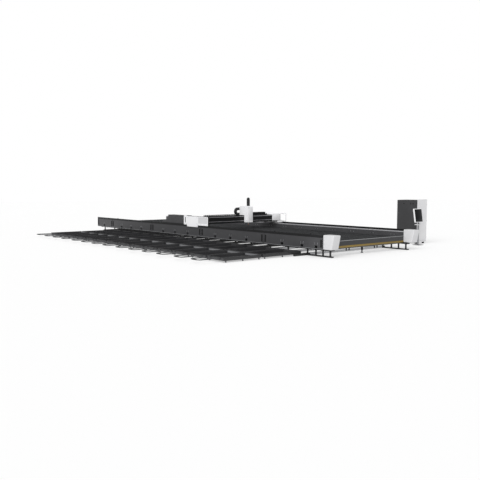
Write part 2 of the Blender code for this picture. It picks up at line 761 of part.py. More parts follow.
def drawer_mesh():
    """Both pans, the hitch, the wheels and the handle as one welded cart."""
    half = DRAWER_WIDTH / 2
    pans = [(-INNER_PAN_LENGTH, 0), (-CART_LENGTH, PAN_LENGTH - CART_LENGTH)]
    bm = bmesh.new()
    for low_x, high_x in pans:
        add_box(bm, (low_x, -half, PAN_FLOOR), (high_x, half, PAN_FLOOR + PAN_HEIGHT))
    bm.normal_update()
    tops = [face for face in bm.faces if face.normal.z > FACING_UP]
    bmesh.ops.delete(bm, geom=tops, context="FACES")
    cart = place("drawer_pattern", bm_to_mesh(bm, "drawer_pattern"), (0, 0, 0), "drawer_steel")
    solidify(cart, PAN_SHEET)
    gear = bmesh.new()
    gear.from_mesh(handle_mesh())
    bmesh.ops.remove_doubles(gear, verts=gear.verts, dist=GAP / 3)
    for side in (-1, 1):
        y = side * HITCH_SPREAD
        hitch_low = PAN_FLOOR + PAN_HEIGHT / 2 - HITCH_SIDE / 2
        add_box(gear, (PAN_LENGTH - CART_LENGTH - EMBED / 2, y - HITCH_SIDE / 2, hitch_low),
                (-INNER_PAN_LENGTH + EMBED / 2, y + HITCH_SIDE / 2, hitch_low + HITCH_SIDE))
    quarter_turn = Matrix.Rotation(math.pi / 2, 4, "X")
    for low_x, high_x in pans:
        spread = (high_x - low_x - 2 * WHEEL_INSET) / (WHEELS_PER_SIDE - 1)
        for index in range(WHEELS_PER_SIDE):
            for side in (-1, 1):
                centre = (low_x + WHEEL_INSET + index * spread,
                          side * (half - WHEEL_WIDTH), WHEEL_RADIUS)
                bmesh.ops.create_cone(gear, cap_ends=True, segments=WHEEL_SIDES, radius1=WHEEL_RADIUS,
                                      radius2=WHEEL_RADIUS, depth=WHEEL_WIDTH,
                                      matrix=Matrix.Translation(centre) @ quarter_turn)
    bmesh.ops.recalc_face_normals(gear, faces=gear.faces)
    boolean(cart, helper("drawer_gear", bm_to_mesh(gear, "drawer_gear")), "UNION")
    bpy.context.view_layer.update()
    mesh = bpy.data.meshes.new_from_object(cart.evaluated_get(bpy.context.evaluated_depsgraph_get()))
    bpy.data.objects.remove(cart)
    return mesh


def scrap_drawers():
    """All drawers, pulled out, numbered from the front."""
    pattern = drawer_mesh()
    number = 0
    for section, (front, back) in enumerate(section_spans(), start=1):
        count = drawers_in(section)
        bars = guide_places(back, count)
        for index in reversed(range(count)):
            number += 1
            middle = (bars[index] + bars[index + 1]) / 2
            made = bpy.data.objects.new("scrap_drawer_%02d" % number, pattern)
            made.location = (DRAWER_INNER_X, middle, 0)
            MACHINE.objects.link(made)


def truck(side):
    """A gantry end carriage on its rail shoes. The left one has a tail for the cable box."""
    name = ("left" if side < 0 else "right") + "_truck"
    inner, outer = side * INNER_X, side * (INNER_X + TRUCK_WIDTH)
    low_x, high_x = min(inner, outer), max(inner, outer)
    front = GANTRY_Y - (TRUCK_LEAD if side < 0 else 0)
    back = GANTRY_Y + TRUCK_BACK
    slot = "dark_paint" if side < 0 else "white_paint"
    body = box(name, (low_x, front, TRUCK_BOTTOM), (high_x, back, TRUCK_TOP), slot)
    shoe_places = [front + SHOE_LENGTH, back - SHOE_LENGTH]
    if side < 0:
        fuse(body, [((low_x, back - EMBED, TRUCK_BOTTOM),
                     (high_x, back + TRUCK_TAIL, TRUCK_BOTTOM + TRUCK_TAIL_THICK))])
        shoe_places.append(back + TRUCK_TAIL - SHOE_LENGTH)
    rail = side * RAIL_X
    fuse(body, [((rail - SHOE_WIDTH / 2, y - SHOE_LENGTH / 2, SHOE_BOTTOM),
                 (rail + SHOE_WIDTH / 2, y + SHOE_LENGTH / 2, TRUCK_BOTTOM + EMBED))
                for y in shoe_places])
    return body


def crossbeam():
    """The hollow beam across the bed, open at its left end against the side plate."""
    right_end = RIGHT_COVER_HIGH_X - COVER_SHEET - GAP
    return open_box("crossbeam", (-CROSSBEAM_END_X, GANTRY_Y, CROSSBEAM_BOTTOM),
                    (right_end, GANTRY_Y + BEAM_DEPTH, CROSSBEAM_TOP), [(-1, 0, 0)],
                    CROSSBEAM_WALL, "dark_paint")


def left_truck_cover():
    """Motor cover on the left truck, with the side plate outside the bed and its cable arm."""
    low_y = GANTRY_Y + BEAM_DEPTH + GAP
    high_y = low_y + MOTOR_COVER_LENGTH
    outer = -COVER_OUTER_X
    skin = outer + COVER_PLATE
    cover = open_box("left_truck_cover", (outer, low_y, CROSSBEAM_BOTTOM),
                     (-INNER_X, high_y, MOTOR_COVER_TOP), [(0, 0, -1)], COVER_SHEET, "white_paint",
                     COVER_EDGE)
    plate_front = GANTRY_Y - SIDE_PLATE_LEAD
    arm_back = high_y + CABLE_ARM_LENGTH
    recess_back = plate_front + RECESS_BORDER + RECESS_LENGTH
    fuse(cover, [((outer, plate_front, SIDE_PLATE_BOTTOM), (skin, high_y - EMBED, SIDE_PLATE_TOP))])
    fuse(cover, [((outer, recess_back + RECESS_BORDER, SIDE_PLATE_DROP),
                  (skin, high_y - 2 * EMBED, SIDE_PLATE_BOTTOM + EMBED))])
    fuse(cover, [((outer, high_y - 3 * EMBED, SIDE_PLATE_BOTTOM), (skin, arm_back, CABLE_ARM_TOP))])
    slot_y = (high_y + arm_back) / 2
    slot_z = (SIDE_PLATE_BOTTOM + CABLE_ARM_TOP) / 2
    cut(cover, [((outer - OVERRUN, plate_front + RECESS_BORDER, CROSSBEAM_BOTTOM),
                 (outer + RECESS_DEPTH, recess_back, SIDE_PLATE_TOP - RECESS_BORDER)),
                ((outer - OVERRUN, slot_y - CABLE_ARM_SLOT_WIDTH / 2, slot_z - CABLE_ARM_SLOT_HEIGHT / 2),
                 (skin + OVERRUN, slot_y + CABLE_ARM_SLOT_WIDTH / 2, slot_z + CABLE_ARM_SLOT_HEIGHT / 2))])
    return cover, arm_back


def rear_cable_box(front):
    """The dark stepped box behind the left truck, open underneath, on the truck's tail."""
    low = TRUCK_BOTTOM + TRUCK_TAIL_THICK + GAP
    step = CABLE_BOX_LENGTH + CABLE_BOX_STEP_LENGTH
    toe = step + CABLE_BOX_TOE_LENGTH
    outline = [(0, low), (toe, low), (toe, CABLE_BOX_TOE_TOP), (step, CABLE_BOX_TOE_TOP),
               (step, CABLE_BOX_STEP_TOP), (CABLE_BOX_LENGTH, CABLE_BOX_STEP_TOP),
               (CABLE_BOX_LENGTH, CABLE_BOX_TOP), (0, CABLE_BOX_TOP)]
    return prism_shell("rear_cable_box", outline, TRUCK_WIDTH,
                       (-INNER_X - TRUCK_WIDTH, front + GAP, 0), "dark_paint", COVER_SHEET, [0])


def right_covers():
    """White cover round the crossbeam's right end, and the side plate outside the bed."""
    low_x, high_x = RIGHT_COVER_LOW_X, RIGHT_COVER_HIGH_X
    front = GANTRY_Y - RIGHT_COVER_LEAD
    back = front + RIGHT_COVER_LENGTH
    cover = open_box("right_truck_cover", (low_x, front, CROSSBEAM_BOTTOM),
                     (high_x, back, RIGHT_COVER_TOP), [(0, 0, -1), (0, 1, 0)], COVER_SHEET,
                     "white_paint", COVER_EDGE)
    cut(cover, [((low_x - OVERRUN, GANTRY_Y - GAP, CROSSBEAM_BOTTOM - GAP),
                 (low_x + OVERRUN, GANTRY_Y + BEAM_DEPTH + GAP, CROSSBEAM_TOP + GAP))])
    plate_x = HALF_BED + RIGHT_PLATE_OUTSET
    flange_top = RIGHT_PLATE_TOP - COVER_PLATE
    plate = box("right_side_plate", (plate_x, GANTRY_Y - RIGHT_PLATE_LEAD, RIGHT_PLATE_BOTTOM),
                (plate_x + COVER_PLATE, back, RIGHT_PLATE_TOP), "white_paint")
    fuse(plate, [((high_x + GAP, front + COVER_EDGE, flange_top - RIGHT_PLATE_FLANGE),
                  (plate_x + EMBED, back - COVER_EDGE, flange_top))])
    return cover, plate


def x_rail():
    """The rail along the crossbeam's front face that the carriage runs on."""
    half = INNER_X - X_RAIL_INSET
    top = CROSSBEAM_TOP - X_RAIL_DROP
    right = HALF_BED - GUARD_THICK - RIGHT_COVER_CLEARANCE - RIGHT_COVER_WIDTH - X_RAIL_INSET
    return box("x_rail", (-half, GANTRY_Y - GAP - X_RAIL_DEPTH, top - X_RAIL_HEIGHT),
               (right, GANTRY_Y - GAP, top), "rail_steel")


def carriage_plate():
    """The plate that runs on the rail, inside the head housing. Returns it and its front face Y."""
    inside = HEAD_WIDTH / 2 - HEAD_SHEET - GAP
    back = GANTRY_Y - 2 * GAP - X_RAIL_DEPTH
    front = back - CARRIAGE_THICK
    plate = box("carriage_plate", (HEAD_X - inside, front, CARRIAGE_BOTTOM),
                (HEAD_X + inside, back, CARRIAGE_TOP), "head_metal")
    return plate, front


def head_housing():
    """The white L-shaped casing over the carriage, with the chain's bracket on its back."""
    front = GANTRY_Y - HEAD_FRONT
    waist = GANTRY_Y - 2 * GAP - X_RAIL_DEPTH
    back = GANTRY_Y + HEAD_OVERHANG
    outline = [(front, HEAD_BOTTOM), (waist, HEAD_BOTTOM), (waist, HEAD_NOTCH), (back, HEAD_NOTCH),
               (back, HEAD_TOP), (front + HEAD_CHAMFER, HEAD_TOP), (front, HEAD_TOP - HEAD_CHAMFER)]
    housing = prism_shell("head_housing", outline, HEAD_WIDTH, (HEAD_X - HEAD_WIDTH / 2, 0, 0),
                          "white_paint", HEAD_SHEET, [0, 1])
    low_x, high_x = HEAD_X - CHAIN_BRACKET_WIDTH / 2, HEAD_X + CHAIN_BRACKET_WIDTH / 2
    top = chain_centre_z() + CHAIN_BEND_HEIGHT / 2
    fuse(housing, [((low_x, back - HEAD_SHEET / 2, top - CHAIN_BRACKET_HEIGHT),
                    (high_x, chain_front_y() - GAP, top))])
    return housing


def cutting_head(plate_front):
    """The slide plate with the cutting barrel, and the nozzle under it."""
    slide_back = plate_front - GAP
    slide_front = slide_back - SLIDE_PLATE_THICK
    half_slide = SLIDE_PLATE_WIDTH / 2
    cutter = box("cutting_head", (HEAD_X - half_slide, slide_front, SLIDE_PLATE_BOTTOM),
                 (HEAD_X + half_slide, slide_back, SLIDE_PLATE_TOP), "head_metal")
    centre = (HEAD_X, slide_front - CUTTER_RADIUS + EMBED)
    bm = bmesh.new()
    add_turned(bm, centre, [(CUTTER_NECK_RADIUS, CUTTER_BOTTOM),
                            (CUTTER_RADIUS, CUTTER_BOTTOM + CUTTER_RADIUS),
                            (CUTTER_RADIUS, CUTTER_TOP)], CUTTER_SIDES)
    boolean(cutter, helper("cutting_head_barrel", bm_to_mesh(bm, "barrel")), "UNION")
    bm = bmesh.new()
    add_turned(bm, (0, 0), [(NOZZLE_TIP_RADIUS, 0), (NOZZLE_RADIUS, NOZZLE_HEIGHT)], CUTTER_SIDES)
    nozzle = place("nozzle", bm_to_mesh(bm, "nozzle"),
                   (*centre, CUTTER_BOTTOM - GAP - NOZZLE_HEIGHT), "copper")
    return cutter, nozzle


def chain_outline(radius, thick, upper_run, lower_run):
    """A chain bend: two straight runs joined by a half circle to the left, as a closed band."""
    outline = []
    for bend, order in ((radius, 1), (radius - thick, -1)):
        side = [(upper_run, bend)]
        for step in range(CHAIN_ARC_STEPS + 1):
            turn = math.pi / 2 + math.pi * step / CHAIN_ARC_STEPS
            side.append((bend * math.cos(turn), bend * math.sin(turn)))
        side.append((lower_run, -bend))
        outline += side[::order]
    return outline


def trough_front_y():
    """The trough starts just behind the head housing's back."""
    return GANTRY_Y + HEAD_OVERHANG + GAP


def chain_front_y():
    """The chain's front side, inside the trough's front wall."""
    return trough_front_y() + TROUGH_WALL + GAP


def chain_centre_z():
    """Height of the bend's middle, with its lower run lying in the trough."""
    return CROSSBEAM_TOP + 2 * GAP + TROUGH_WALL + CHAIN_BEND_HEIGHT / 2


def chain_trough():
    """The open channel on the crossbeam for the lower chain run, with the cable duct behind it."""
    right = RIGHT_COVER_LOW_X - TROUGH_END_INSET
    low_z = CROSSBEAM_TOP + GAP
    width = CHAIN_WIDTH + 2 * TROUGH_WALL + 2 * GAP
    trough = open_box("chain_trough", (-INNER_X + TROUGH_END_INSET, trough_front_y(), low_z),
                      (right, trough_front_y() + width, low_z + TROUGH_HEIGHT),
                      [(0, 0, 1), (1, 0, 0), (-1, 0, 0)], TROUGH_WALL, "dark_paint")
    back = trough_front_y() + width
    top = low_z + DUCT_SIDE
    fuse(trough, [((DUCT_LEFT_X, back - TROUGH_WALL / 2, low_z), (right, back + DUCT_SIDE, top))])
    cut(trough, [((DUCT_LEFT_X + TROUGH_WALL, back + TROUGH_WALL, low_z + TROUGH_WALL),
                  (right + OVERRUN, back + DUCT_SIDE - TROUGH_WALL, top - TROUGH_WALL))])
    return trough


def chain_bend():
    """The cross axis chain, bent back beside the head housing."""
    radius = CHAIN_BEND_HEIGHT / 2
    centre_x = HEAD_X - CHAIN_BEND_LEFT + radius
    outline = chain_outline(radius, CHAIN_THICK, CHAIN_UPPER_RUN, CHAIN_LOWER_RUN)
    return prism("chain_bend", outline, CHAIN_WIDTH, "Y",
                 (centre_x, chain_front_y(), chain_centre_z()), "chain_plastic")


def chain_tower():
    """The upright chain loop of the vertical axis, on top of the housing."""
    bend = TOWER_SPAN / 2
    rise = TOWER_HEIGHT - bend
    outline = [(y, rise - x) for x, y in chain_outline(bend, TOWER_THICK, rise, rise)]
    centre_y = GANTRY_Y - HEAD_FRONT + HEAD_CHAMFER + TOWER_INSET + bend
    return prism("chain_tower", outline, TOWER_WIDTH, "X",
                 (HEAD_X + TOWER_INSET - TOWER_WIDTH, centre_y, HEAD_TOP + GAP), "chain_plastic")


def cabinet_corners():
    """Lowest and highest corner of the cabinet's casing, above its feet."""
    low = Vector((CABINET_X, CABINET_Y, CABINET_FOOT_HEIGHT))
    high = Vector((CABINET_X + CABINET_WIDTH, CABINET_Y + CABINET_DEPTH, CABINET_TOP))
    return low, high


def cabinet_body():
    """The cabinet's casing on four feet, open at the front."""
    low, high = cabinet_corners()
    body = open_box("cabinet_body", low, high, [(0, -1, 0)], CABINET_SHEET, "bed_paint", CABINET_EDGE)
    feet = []
    for x in (low.x + CABINET_FOOT_INSET, high.x - CABINET_FOOT_INSET - CABINET_FOOT_SIDE):
        for y in (low.y + CABINET_FOOT_INSET, high.y - CABINET_FOOT_INSET - CABINET_FOOT_SIDE):
            feet.append(((x, y, 0), (x + CABINET_FOOT_SIDE, y + CABINET_FOOT_SIDE,
                                     low.z + CABINET_SHEET / 2)))
    fuse(body, feet)


def cabinet_door():
    """The folded door in front of the casing, with a grip opening at its free edge."""
    low, high = cabinet_corners()
    back = CABINET_Y - GAP
    front = back - DOOR_DEPTH
    door = open_box("cabinet_door", (low.x, front, low.z + DOOR_MARGIN),
                    (high.x, back, high.z + DOOR_RISE), [(0, 1, 0)], CABINET_SHEET, "grey_paint",
                    CABINET_EDGE)
    grip_x = low.x + DOOR_GRIP_INSET
    cut(door, [((grip_x, front - OVERRUN, DOOR_GRIP_Z),
                (grip_x + DOOR_GRIP_WIDTH, front + DOOR_DEPTH / 2, DOOR_GRIP_Z + DOOR_GRIP_HEIGHT))])
    return door


def laser_source():
    """The laser source's steel case on the cabinet's floor, open at the back."""
    low, high = cabinet_corners()
    case_low = Vector((low.x + (CABINET_WIDTH - LASER_WIDTH) / 2,
                       low.y + (CABINET_DEPTH - LASER_DEPTH) / 2, low.z + CABINET_SHEET + GAP))
    case_high = case_low + Vector((LASER_WIDTH, LASER_DEPTH, LASER_HEIGHT))
    open_box("laser_source", case_low, case_high, [(0, 1, 0)], LASER_SHEET, "grey_paint")


def console_stand():
    """The console's floor plate and hollow post."""
    x, y = CONSOLE_X, CONSOLE_Y
    half_base, half_post = CONSOLE_BASE_SIDE / 2, CONSOLE_POST_SIDE / 2
    stand = box("console_stand", (x - half_base, y - half_base, 0),
                (x + half_base, y + half_base, CONSOLE_BASE_THICK), "grey_paint")
    fuse(stand, [((x - half_post, y - half_post, CONSOLE_BASE_THICK - EMBED),
                  (x + half_post, y + half_post, CONSOLE_POST_TOP))])
    bore = half_post - CONSOLE_POST_WALL
    cut(stand, [((x - bore, y - bore, CONSOLE_BASE_THICK + EMBED),
                 (x + bore, y + bore, CONSOLE_POST_TOP + OVERRUN))])


def keyboard_shelf():
    """The shelf on the post's front, with the bush hole of the stop button."""
    back = CONSOLE_Y - CONSOLE_POST_SIDE / 2 - GAP
    centre = CONSOLE_X + PANEL_SHIFT
    shelf = box("keyboard_shelf",
                (centre - SHELF_WIDTH / 2, back - SHELF_DEPTH, SHELF_TOP - SHELF_THICK),
                (centre + SHELF_WIDTH / 2, back, SHELF_TOP), "grey_paint")
    bm = bmesh.new()
    x, y = button_place()
    add_turned(bm, (x, y), [(BUTTON_NECK_RADIUS + GAP, SHELF_TOP - BUTTON_HOLE_DEPTH),
                            (BUTTON_NECK_RADIUS + GAP, SHELF_TOP + OVERRUN)], BUTTON_SIDES)
    boolean(shelf, helper("keyboard_shelf_hole", bm_to_mesh(bm, "hole")), "DIFFERENCE")


def button_place():
    """The button's centre on the shelf, near its right front corner."""
    front = CONSOLE_Y - CONSOLE_POST_SIDE / 2 - GAP - SHELF_DEPTH
    return CONSOLE_X + PANEL_SHIFT + SHELF_WIDTH / 2 - BUTTON_INSET, front + BUTTON_INSET


def stop_button():
    """The mushroom button, its neck in the shelf's hole and its head clear by its travel."""
    bm = bmesh.new()
    add_turned(bm, (0, 0), [(BUTTON_NECK_RADIUS, -BUTTON_NECK_HEIGHT), (BUTTON_NECK_RADIUS, BUTTON_LIFT),
                            (BUTTON_RADIUS, BUTTON_LIFT), (BUTTON_RADIUS, BUTTON_LIFT + BUTTON_CAP_HEIGHT)],
               BUTTON_SIDES)
    return place("stop_button", bm_to_mesh(bm, "stop_button"), (*button_place(), SHELF_TOP), "button_dark")


def console_housing(pivot):
    """The hollow screen housing, tilted back about the pivot, on two lugs beside the post."""
    left = PANEL_SHIFT - HOUSING_WIDTH / 2
    right = left + HOUSING_WIDTH
    back = -HOUSING_STANDOFF
    front = back - HOUSING_DEPTH
    low_z = -HOUSING_DROP
    high_z = low_z + HOUSING_HEIGHT
    housing = box("console_housing", (left, front, low_z), (right, back, high_z), "white_paint")
    bevel(housing, HOUSING_EDGE)
    wall = HOUSING_WALL
    border = SCREEN_BORDER
    cut(housing, [((left + wall, front + wall, low_z + wall), (right - wall, back - wall, high_z - wall))])
    cut(housing, [((left + border, front - OVERRUN, low_z + border),
                   (right - border, front + wall + SCREEN_THICK, high_z - border))])
    lug_low = CONSOLE_POST_SIDE / 2 + GAP
    lug_high = lug_low + TILT_LUG_THICK
    half_lug = TILT_LUG_HEIGHT / 2
    fuse(housing, [((low_x, back - wall / 2, -half_lug), (high_x, half_lug, half_lug))
                   for low_x, high_x in ((-lug_high, -lug_low), (lug_low, lug_high))])
    inset = border + GAP
    screen = box("touch_screen", (left + inset, front + GAP, low_z + inset),
                 (right - inset, front + SCREEN_THICK, high_z - inset), "screen_glass")
    for piece in (housing, screen):
        piece.parent = pivot
    for modifier in housing.modifiers:
        if modifier.type == "BOOLEAN":
            modifier.object.parent = pivot


def joint_empty(name, location, parent=None):
    """A plain axes empty at a joint, which its moving pieces follow."""
    empty = bpy.data.objects.new(name, None)
    MACHINE.objects.link(empty)
    empty.location = location
    if parent is not None:
        hang(empty, parent)
    return empty


def hang(piece, parent):
    """Parent a piece without moving it."""
    bpy.context.view_layer.update()
    piece.parent = parent
    piece.matrix_parent_inverse = parent.matrix_world.inverted()


def build_bed():
    """Beams, floor frames and everything fixed to them."""
    for number, (front, back) in enumerate(section_spans(), start=1):
        bed_beam(-1, number, front, back)
        bed_beam(1, number, front, back)
        floor_frame(number, front, back)
    slat_grate()
    for side in (-1, 1):
        guide_rail(side)
        outer_guard(side)
        end_cap(side)
    front_skirt()
    scrap_drawers()


def build_gantry():
    """The crossbeam on its trucks, and the head on the crossbeam."""
    gantry = joint_empty("gantry_travel", (0, GANTRY_Y, CROSSBEAM_BOTTOM))
    left_cover, arm_back = left_truck_cover()
    right_cover, right_plate = right_covers()
    for piece in (truck(-1), truck(1), crossbeam(), left_cover, rear_cable_box(arm_back),
                  right_cover, right_plate, x_rail(), chain_trough()):
        hang(piece, gantry)
    carriage = joint_empty("carriage_travel", (HEAD_X, GANTRY_Y, CROSSBEAM_TOP), gantry)
    plate, plate_front = carriage_plate()
    for piece in (plate, head_housing(), chain_bend(), chain_tower()):
        hang(piece, carriage)
    head = joint_empty("head_travel", (HEAD_X, GANTRY_Y, CUTTER_BOTTOM), carriage)
    for piece in cutting_head(plate_front):
        hang(piece, head)


def build_operator_side():
    """Cabinet and console, which stand beside the bed."""
    cabinet_body()
    laser_source()
    hinge = joint_empty("door_hinge", (CABINET_X + CABINET_WIDTH, CABINET_Y - GAP - DOOR_DEPTH, 0))
    hang(cabinet_door(), hinge)
    console_stand()
    keyboard_shelf()
    stop_button()
    pivot = joint_empty("screen_tilt", (CONSOLE_X, CONSOLE_Y, CONSOLE_POST_TOP - TILT_AXIS_DROP))
    pivot.rotation_euler = (-HOUSING_TILT, 0, 0)
    console_housing(pivot)


build_bed()
build_gantry()
build_operator_side()
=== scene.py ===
# %% [markdown]
# A gantry fiber laser cutter, dressed for a studio picture
#
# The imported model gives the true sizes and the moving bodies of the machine. This lesson puts the looks
# on top of it: it reads the places of the solids, builds finer surfaces around them with numpy, and
# gives every surface a finish that is worked out in the shader.
# The machine is 17 m long, so most of its pieces are long and repeated: rails, racks, slats, trays.
# That is why nearly every shape here is one small pattern, repeated by array arithmetic.

import math

import bpy
import numpy as np
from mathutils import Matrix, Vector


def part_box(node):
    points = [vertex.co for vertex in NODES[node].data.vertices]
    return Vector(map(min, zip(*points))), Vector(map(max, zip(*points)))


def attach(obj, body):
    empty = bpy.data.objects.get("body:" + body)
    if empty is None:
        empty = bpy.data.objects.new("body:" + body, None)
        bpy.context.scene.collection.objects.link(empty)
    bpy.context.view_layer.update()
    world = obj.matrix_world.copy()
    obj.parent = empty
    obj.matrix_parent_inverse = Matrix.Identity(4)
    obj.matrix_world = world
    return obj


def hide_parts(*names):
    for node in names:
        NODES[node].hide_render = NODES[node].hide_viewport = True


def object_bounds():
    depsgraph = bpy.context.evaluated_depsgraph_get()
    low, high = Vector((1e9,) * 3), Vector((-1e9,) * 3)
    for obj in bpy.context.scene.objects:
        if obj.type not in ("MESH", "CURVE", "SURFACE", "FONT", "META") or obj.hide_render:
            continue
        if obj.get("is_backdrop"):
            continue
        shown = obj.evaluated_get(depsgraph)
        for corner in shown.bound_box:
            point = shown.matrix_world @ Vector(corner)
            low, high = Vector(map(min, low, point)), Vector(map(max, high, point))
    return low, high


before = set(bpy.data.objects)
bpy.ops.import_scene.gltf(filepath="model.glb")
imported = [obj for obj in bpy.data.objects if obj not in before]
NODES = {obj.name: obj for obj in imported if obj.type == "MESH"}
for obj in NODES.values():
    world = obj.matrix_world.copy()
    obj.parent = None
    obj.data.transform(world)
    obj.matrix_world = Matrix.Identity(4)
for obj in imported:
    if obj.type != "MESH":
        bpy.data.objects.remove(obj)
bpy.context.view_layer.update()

MM = 0.001
X, Y, Z = 0, 1, 2
SIDES = ("left", "right")


def corners(node):
    """Lowest and highest corner of a solid at rest, as two arrays."""
    low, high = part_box(node)
    return np.array(low), np.array(high)


# %% [markdown]
# Shapes as arrays
#
# A shape here is a pair: an array of points, and a list of face tables grouped by how many corners the
# faces have. A box, a tube or a rack is worked out as whole arrays, so a thousand teeth cost no more
# typing than one. Nearly all of them are sections in a row with a skin drawn over them. Booleans or
# edit-mode modelling could do the same job, but they are slower and leave uneven faces behind.

# %%
MERGE = 1e-6


def volume(shape):
    """Signed volume: each face fans into triangles, and each triangle spans a wedge to the origin."""
    points, tables = shape
    total = 0.0
    for table in tables:
        first = points[table[:, 0]]
        for step in range(1, table.shape[1] - 1):
            wedge = np.cross(points[table[:, step]], points[table[:, step + 1]])
            total += np.einsum("ij,ij->", first, wedge) / 6
    return total


def welded(points, tables):
    """Join points that coincide, drop the corners that this doubles, and turn the faces outward."""
    points = np.asarray(points, float).reshape(-1, 3)
    keys = np.round(points / MERGE).astype(np.int64)
    _, first, where = np.unique(keys, axis=0, return_index=True, return_inverse=True)
    where = where.ravel()
    by_size = {}
    for table in tables:
        for face in where[np.asarray(table)].tolist():
            face = [c for c, before in zip(face, face[-1:] + face[:-1]) if c != before]
            if len(set(face)) > 2:
                by_size.setdefault(len(face), []).append(face)
    shape = points[first], [np.array(faces) for faces in by_size.values()]
    if volume((shape[0] - shape[0].mean(0), shape[1])) < 0:
        shape = shape[0], [table[:, ::-1] for table in shape[1]]
    return shape


def lofted(sections):
    """A closed skin over a row of sections with equally many points: four-cornered faces run all round
    from each section to the next, and one flat face closes each end."""
    points = np.asarray(sections, float)
    rows, columns = points.shape[:2]
    here, there = np.arange(rows - 1)[:, None] * columns, np.arange(1, rows)[:, None] * columns
    column = np.arange(columns)[None, :]
    follower = (column + 1) % columns
    around = np.stack([here + column, here + follower, there + follower, there + column], -1)
    ends = [np.arange(columns)[None, ::-1], np.arange((rows - 1) * columns, rows * columns)[None]]
    return welded(points, [around.reshape(-1, 4)] + ends)


def join(*shapes):
    """Several shapes as one, still as separate bodies."""
    start, points, tables = 0, [], []
    for shape_points, shape_tables in shapes:
        points.append(shape_points)
        tables += [table + start for table in shape_tables]
        start += len(shape_points)
    return np.concatenate(points), tables


def many(shape, places):
    """A copy of the shape moved to each place."""
    points, tables = shape
    places = np.asarray(places, float).reshape(-1, 3)
    moved = (places[:, None, :] + points[None]).reshape(-1, 3)
    jump = np.arange(len(places))[:, None, None] * len(points)
    return moved, [(jump + table[None]).reshape(-1, table.shape[1]) for table in tables]


def turn(shape, axis, degrees):
    """The shape turned about one axis through the origin."""
    angle = math.radians(degrees)
    a, b = [index for index in (X, Y, Z) if index != axis]
    if axis == Y:
        a, b = b, a
    points = shape[0].copy()
    points[:, a] = shape[0][:, a] * math.cos(angle) - shape[0][:, b] * math.sin(angle)
    points[:, b] = shape[0][:, a] * math.sin(angle) + shape[0][:, b] * math.cos(angle)
    return points, shape[1]


def flipped(shape, axis):
    """The mirror image square to one axis. Mirroring turns faces inside out, so their corners run back."""
    mirror = np.ones(3)
    mirror[axis] = -1
    return shape[0] * mirror, [table[:, ::-1] for table in shape[1]]


def handed(shape, side):
    """A shape that is made for the right side, or its mirror image for the left."""
    return shape if side == "right" else flipped(shape, X)


def block(low, high, radius=0.0, steps=2):
    """A box with rounded edges: a sphere cut into eight parts that are pulled out to the corners.
    Point = centre + sign of its corner * (half size - radius) + radius * direction on the sphere."""
    low, high = np.asarray(low, float), np.asarray(high, float)
    half, centre = (high - low) / 2, (high + low) / 2
    radius = min(radius, 0.49 * min(high - low))
    quarter = np.linspace(0, np.pi / 2, steps + 1) if radius else np.array([np.pi / 4])
    around = (quarter[None, :] + np.arange(4)[:, None] * np.pi / 2).ravel()
    corner = np.repeat(np.arange(4), len(quarter))
    tilt = np.concatenate([quarter - np.pi / 2, quarter])
    sign = np.stack(np.broadcast_arrays(np.array([1, -1, -1, 1])[corner][None],
                                        np.array([1, 1, -1, -1])[corner][None],
                                        np.repeat([-1, 1], len(quarter))[:, None]), -1)
    direction = np.stack(np.broadcast_arrays(np.cos(tilt)[:, None] * np.cos(around)[None],
                                             np.cos(tilt)[:, None] * np.sin(around)[None],
                                             np.sin(tilt)[:, None]), -1)
    return lofted(centre + sign * (half - radius) + radius * direction)


def turned(profile, sides=24, centre=(0, 0, 0), axis=Z):
    """A profile of radius and height pairs, spun about a line. The ends are closed flat."""
    profile = np.asarray(profile, float)
    angle = np.arange(sides) * 2 * np.pi / sides
    ring = np.stack([np.cos(angle), np.sin(angle)], -1)
    flat = profile[:, 0][:, None, None] * ring[None]
    height = np.broadcast_to(profile[:, 1][:, None, None], flat.shape[:2] + (1,))
    shape = lofted(np.concatenate([flat, height], -1))
    if axis == X:
        shape = turn(shape, Y, 90)
    if axis == Y:
        shape = turn(shape, X, -90)
    return shape[0] + np.asarray(centre, float), shape[1]


def extruded(outline, axis, start, end):
    """A closed outline carried along one axis. The outline's two numbers are the other axes, in order."""
    outline = np.asarray(outline, float)
    others = [index for index in (X, Y, Z) if index != axis]
    points = np.zeros((2, len(outline), 3))
    points[:, :, others[0]] = outline[:, 0]
    points[:, :, others[1]] = outline[:, 1]
    points[0, :, axis] = start
    points[1, :, axis] = end
    return lofted(points)


def tube(path, radius, sides=12):
    """A round section carried along a path: at each point the circle stands square to the way ahead."""
    path = np.asarray(path, float)
    ahead = np.gradient(path, axis=0)
    ahead /= np.linalg.norm(ahead, axis=1)[:, None]
    side = np.cross(ahead, (0.0, 0.0, 1.0))
    flat = np.linalg.norm(side, axis=1) < MERGE
    side[flat] = (1.0, 0.0, 0.0)
    side /= np.linalg.norm(side, axis=1)[:, None]
    up = np.cross(side, ahead)
    angle = np.arange(sides) * 2 * np.pi / sides
    return lofted(path[:, None] + radius * np.cos(angle)[None, :, None] * side[:, None]
                  + radius * np.sin(angle)[None, :, None] * up[:, None])


